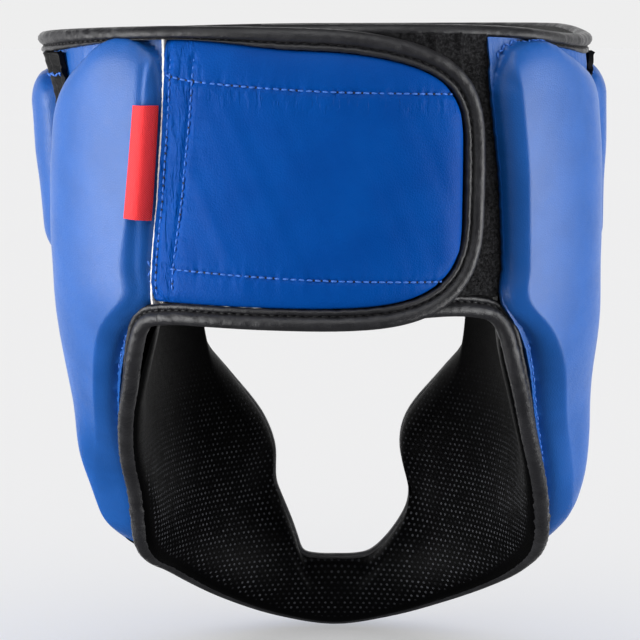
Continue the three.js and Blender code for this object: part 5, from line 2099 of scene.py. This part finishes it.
@dataclass
class SeamEdge:
    """Pale cut edge of the strap's leather, beside the left rear pad."""

    width: float = 0.7
    low: float = 0.3
    high: float = 6.4
    top: float = -5.6
    bottom: float = -104.5
    gap: float = 0.35
    steps: int = 150

    def build(self, shop: Workshop) -> None:
        """Models and dresses the edge."""
        wall = shop.wall
        across = np.array([0, 0, self.width, self.width, 0])
        outward = np.array([self.low, self.high, self.high, self.low, self.low])
        around = np.linspace(0, 1, len(across))
        obj = Bench.grid("cut_edge", self.steps, len(across) - 1)

        def place(s: Array, t: Array) -> Array:
            z = lerp(self.top, self.bottom, s)
            side = np.interp(t, around, across) + 0.12 * ripple(s * 40, 2.0)
            out = np.interp(t, around, outward)
            out = out + 0.15 * ripple(s * 23, 4.0) * (out > 1)
            angle = wall.seam(Side.LEFT, z) + (self.gap + side) / MM_PER_DEGREE
            return wall.at(angle, z, out)

        Bench.drape(obj, place, (96, 15))
        Bench.close_tube(obj)
        Bench.soften(obj, 40)
        shop.dress(obj, shop.finish.cut_edge, Slot.CUT_EDGE, "seam_edge")


@dataclass
class LabelTab:
    """Plain red ribbon tab sewn into the left seam."""

    top: float = -30.0
    height: float = 43.0
    width: float = 10.0
    cells: tuple[int, int] = (60, 16)
    root: float = 6.5
    reach: float = 0.1
    bow: float = 3.6
    lift: float = 0.9
    thickness: float = 0.9

    def build(self, shop: Workshop, pad: RearPad) -> None:
        """Models and dresses the tab on its pad."""
        skin = pad.skin(shop.wall)
        first = skin.first.share_at_height(self.top)
        last = skin.first.share_at_height(self.top - self.height)

        def place(s: Array, t: Array) -> Array:
            along = lerp(first, last, s)
            angle, z = skin.first.at(along)
            root = shop.wall.at(angle - 0.2, z, np.full_like(z, self.root))
            ridge = skin.surface(along, np.full_like(s, self.reach))
            ridge = ridge + shop.wall.normal(angle, z) * self.lift
            bow = self.bow * np.sin(np.pi * t) + 0.3 + 0.15 * np.sin(9 * s) * t
            return lerp(root, ridge, t[..., None]) + BACKWARD * bow[..., None]

        flat_size = (self.height, self.width)
        obj = shop.skin("ribbon_tab", place, self.cells, flat_size, self.thickness)
        shop.dress(obj, shop.finish.label, Slot.LABEL, "label_tab")


# ---------------------------------------------------------------------- stage


@dataclass
class SoftLight:
    """A large soft light that points at the guard."""

    name: str
    place: Place
    size: tuple[float, float]
    power: float
    aim: Place = (0.0, 0.0, -0.12)


@dataclass
class Studio:
    """Pale floor, soft lights and the camera."""

    floor_height: float = -0.2697
    floor_size: float = 60.0
    floor_colour: Colour = (0.86, 0.86, 0.865)
    floor_even: float = 2.53
    floor_shading: float = 0.24
    floor_spread: float = 130.0
    ambient: float = 0.12
    backdrop: float = 0.855
    camera_place: Place = (0.02051, -1.09319, -0.00035)
    camera_aim: Place = (-0.0043, 0.0, -0.120)
    lens: float = 151.65
    sensor: float = 36.0
    lights: tuple[SoftLight, ...] = (
        SoftLight("left_softbox", (-1.5, 0.25, -0.15), (1.8, 1.8), 9.4),
        SoftLight("right_softbox", (1.5, 0.05, -0.1), (1.2, 1.8), 9.5),
        SoftLight("left_fill", (-1.4, -0.95, 0.1), (1.2, 1.5), 9.0),
        SoftLight("left_table", (-0.75, -0.3, -0.26), (0.5, 0.8), 8.0),
        SoftLight("right_table", (0.75, -0.25, -0.26), (0.5, 0.8), 7.0),
        SoftLight("top_softbox", (0.0, -0.8, 1.3), (1.4, 1.2), 10.0),
        SoftLight("front_softbox", (-0.2, -1.5, 0.95), (1.3, 0.5), 6.0),
        SoftLight("back_softbox", (0.0, 1.7, 0.0), (3.2, 2.2), 23.0),
    )

    @staticmethod
    def _turn(obj: bpy.types.Object, place: Place, aim: Place) -> None:
        """Turns a light or the camera from its place towards its aim."""
        way = Vector(aim) - Vector(place)
        obj.rotation_euler = way.to_track_quat("-Z", "Y").to_euler()

    def _floor(self) -> bpy.types.Object:
        bpy.ops.object.select_all(action="DESELECT")
        bpy.ops.mesh.primitive_plane_add(size=self.floor_size, location=(0, 0, self.floor_height))
        floor = bpy.context.active_object
        floor.name = "floor"
        material, shader, body = Shader.material("pale_floor")
        place = shader.add("ShaderNodeTexCoord").outputs["Object"]
        cloud = shader.noise(place, 1.5, 2)
        pale = tuple(channel * 0.99 for channel in self.floor_colour)
        colour = shader.blend(cloud, pale, self.floor_colour)
        shader.fill(body, {"Base Color": colour, "Roughness": 0.95, "Specular IOR Level": 0.0})
        floor.data.materials.append(material)
        floor.visible_diffuse = False
        floor.visible_glossy = False
        floor.visible_shadow = False
        return floor

    def _world(self) -> None:
        world = bpy.data.worlds.new("studio")
        bpy.context.scene.world = world
        world.use_nodes = True
        shader = Shader(world.node_tree)
        back = world.node_tree.nodes["Background"]
        seen = shader.add("ShaderNodeLightPath").outputs["Is Camera Ray"]
        dim, pale = (self.ambient,) * 3, (self.backdrop,) * 3
        shader.link(shader.blend(seen, dim, pale), back.inputs["Color"])

    def _light(self, plan: SoftLight, receivers: bpy.types.Collection) -> None:
        bpy.ops.object.light_add(type="AREA", location=plan.place)
        light = bpy.context.active_object
        light.name = plan.name
        light.data.shape = "RECTANGLE"
        light.data.size, light.data.size_y = plan.size
        light.data.energy = plan.power
        self._turn(light, plan.place, plan.aim)
        light.visible_camera = False
        light.light_linking.receiver_collection = receivers

    def _floor_lights(self, floor: bpy.types.Object) -> None:
        """Two wide lights for the floor alone, one with shadows and one without."""
        only_floor = bpy.data.collections.new("lit_floor")
        only_floor.objects.link(floor)
        for strength, shades in ((self.floor_even, False), (self.floor_shading, True)):
            bpy.ops.object.light_add(type="SUN", location=(0, 0, 2))
            sky = bpy.context.active_object
            sky.name = "floor_light"
            sky.data.energy = strength
            sky.data.angle = math.radians(self.floor_spread)
            sky.data.use_shadow = shades
            sky.light_linking.receiver_collection = only_floor

    def _camera(self) -> None:
        bpy.ops.object.camera_add(location=self.camera_place)
        camera = bpy.context.active_object
        self._turn(camera, self.camera_place, self.camera_aim)
        camera.data.lens = self.lens
        camera.data.sensor_width = self.sensor
        camera.data.dof.use_dof = False
        bpy.context.scene.camera = camera

    def build(self) -> None:
        """Sets the stage."""
        floor = self._floor()
        self._world()
        others = bpy.data.collections.new("lit_by_softboxes")
        others.objects.link(floor)
        others.collection_objects[0].light_linking.link_state = "EXCLUDE"
        for plan in self.lights:
            self._light(plan, others)
        self._floor_lights(floor)
        self._camera()
        bpy.context.scene.view_settings.view_transform = "Standard"
        LOG.info("stage set")


def rear_pads() -> tuple[RearPad, RearPad]:
    """Both rear pads with their own fullness."""
    left = PadShape(
        first_height=spread(
            (0, 8.5), (0.08, 10), (0.24, 11.2), (0.32, 11.4),
            (0.4, 10.4), (0.5, 9.4), (0.7, 8.6), (1, 9),
        ),
        middle_height=spread(
            (0, 10), (0.1, 13), (0.3, 15.5), (0.45, 15.4),
            (0.6, 18.2), (0.75, 22), (0.88, 19), (1, 12),
        ),
        second_height=spread(
            (0, 4), (0.08, 5), (0.17, 7), (0.3, 9), (0.45, 9), (0.6, 14), (0.8, 20), (1, 20)
        ),
        first_round=spread(
            (0, 4.2), (0.08, 4.5), (0.24, 7.4), (0.31, 8.4),
            (0.36, 7), (0.42, 5), (0.52, 3.6), (1, 5),
        ),
        second_round=spread((0, 30), (0.3, 24), (1, 20)), ridge=1.5, welt=(5.0, 0.8), tucked=4.0,
        start_round=14, end_round=16, arch=3.6, arch_lean=0.46, seed=1.0,
        start_foot=spread(
            (0, 5), (0.05, 3.2), (0.13, 0.8), (0.22, 0), (0.3, 0.7), (0.37, 2.4), (0.43, 5),
            (0.5, 8), (0.57, 11), (0.64, 14.5), (0.73, 20), (0.87, 34), (1, 56),
        ),
        foot=spread((0, 0.4), (0.3, 0.6), (0.42, 2.6), (1, 2.8)),
    )
    right = PadShape(
        first_height=spread(
            (0, 9), (0.1, 11), (0.3, 9.5), (0.38, 10.5), (0.46, 12), (0.6, 10.5), (1, 10)
        ),
        middle_height=spread(
            (0, 9.5), (0.15, 12), (0.35, 13.4), (0.5, 16.3),
            (0.65, 20), (0.8, 17), (0.9, 11), (1, 8),
        ),
        second_height=spread(
            (0, 4), (0.1, 6), (0.2, 8), (0.3, 9), (0.45, 9.5), (0.6, 13), (0.8, 13), (1, 9)
        ),
        first_round=spread((0, 7), (0.1, 5.5), (0.25, 5), (0.46, 4.6), (0.6, 5), (1, 7)),
        second_round=spread((0, 22), (1, 20)),
        start_round=13, end_round=16, arch=3.0, arch_lean=0.45, seed=4.0, ridge=1.35, tucked=4.0,
        start_foot=spread(
            (0, 6), (0.06, 3.2), (0.12, 1.6), (0.22, 0.6), (0.3, 1), (0.4, 3.2),
            (0.48, 5.2), (0.57, 7.4), (0.75, 10), (0.92, 14), (1, 22),
        ),
        foot=spread((0, 0.8), (0.34, 0.8), (0.42, 3.0), (1, 2.8)),
    )
    return (
        RearPad(Side.LEFT, left, ((0.6, 0.9),), (0.28, 0.49, 32)),
        RearPad(Side.RIGHT, right, ((0.03, 0.3), (0.5, 0.95)), (0.42, 0.8, 0)),
    )


def main() -> None:
    """Builds the guard over its frame and sets the stage."""
    logging.basicConfig(level=logging.INFO, format="%(name)s: %(message)s")
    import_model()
    shop = Workshop()
    left, right = rear_pads()
    for pad in (left, right):
        pad.build(shop)
    FrontPads().build(shop)
    Gusset(Side.LEFT, top_shift=10.0, top_spread=14.0).build(shop)
    Gusset(Side.RIGHT, top_shift=1.0, top_spread=4.0).build(shop)
    Lining().build(shop)
    Strap().build(shop)
    EdgeTape().build(shop)
    LoopPatch().build(shop)
    SeamEdge().build(shop)
    LabelTab().build(shop, left)
    Studio().build()


if __name__ == "__main__":
    main()
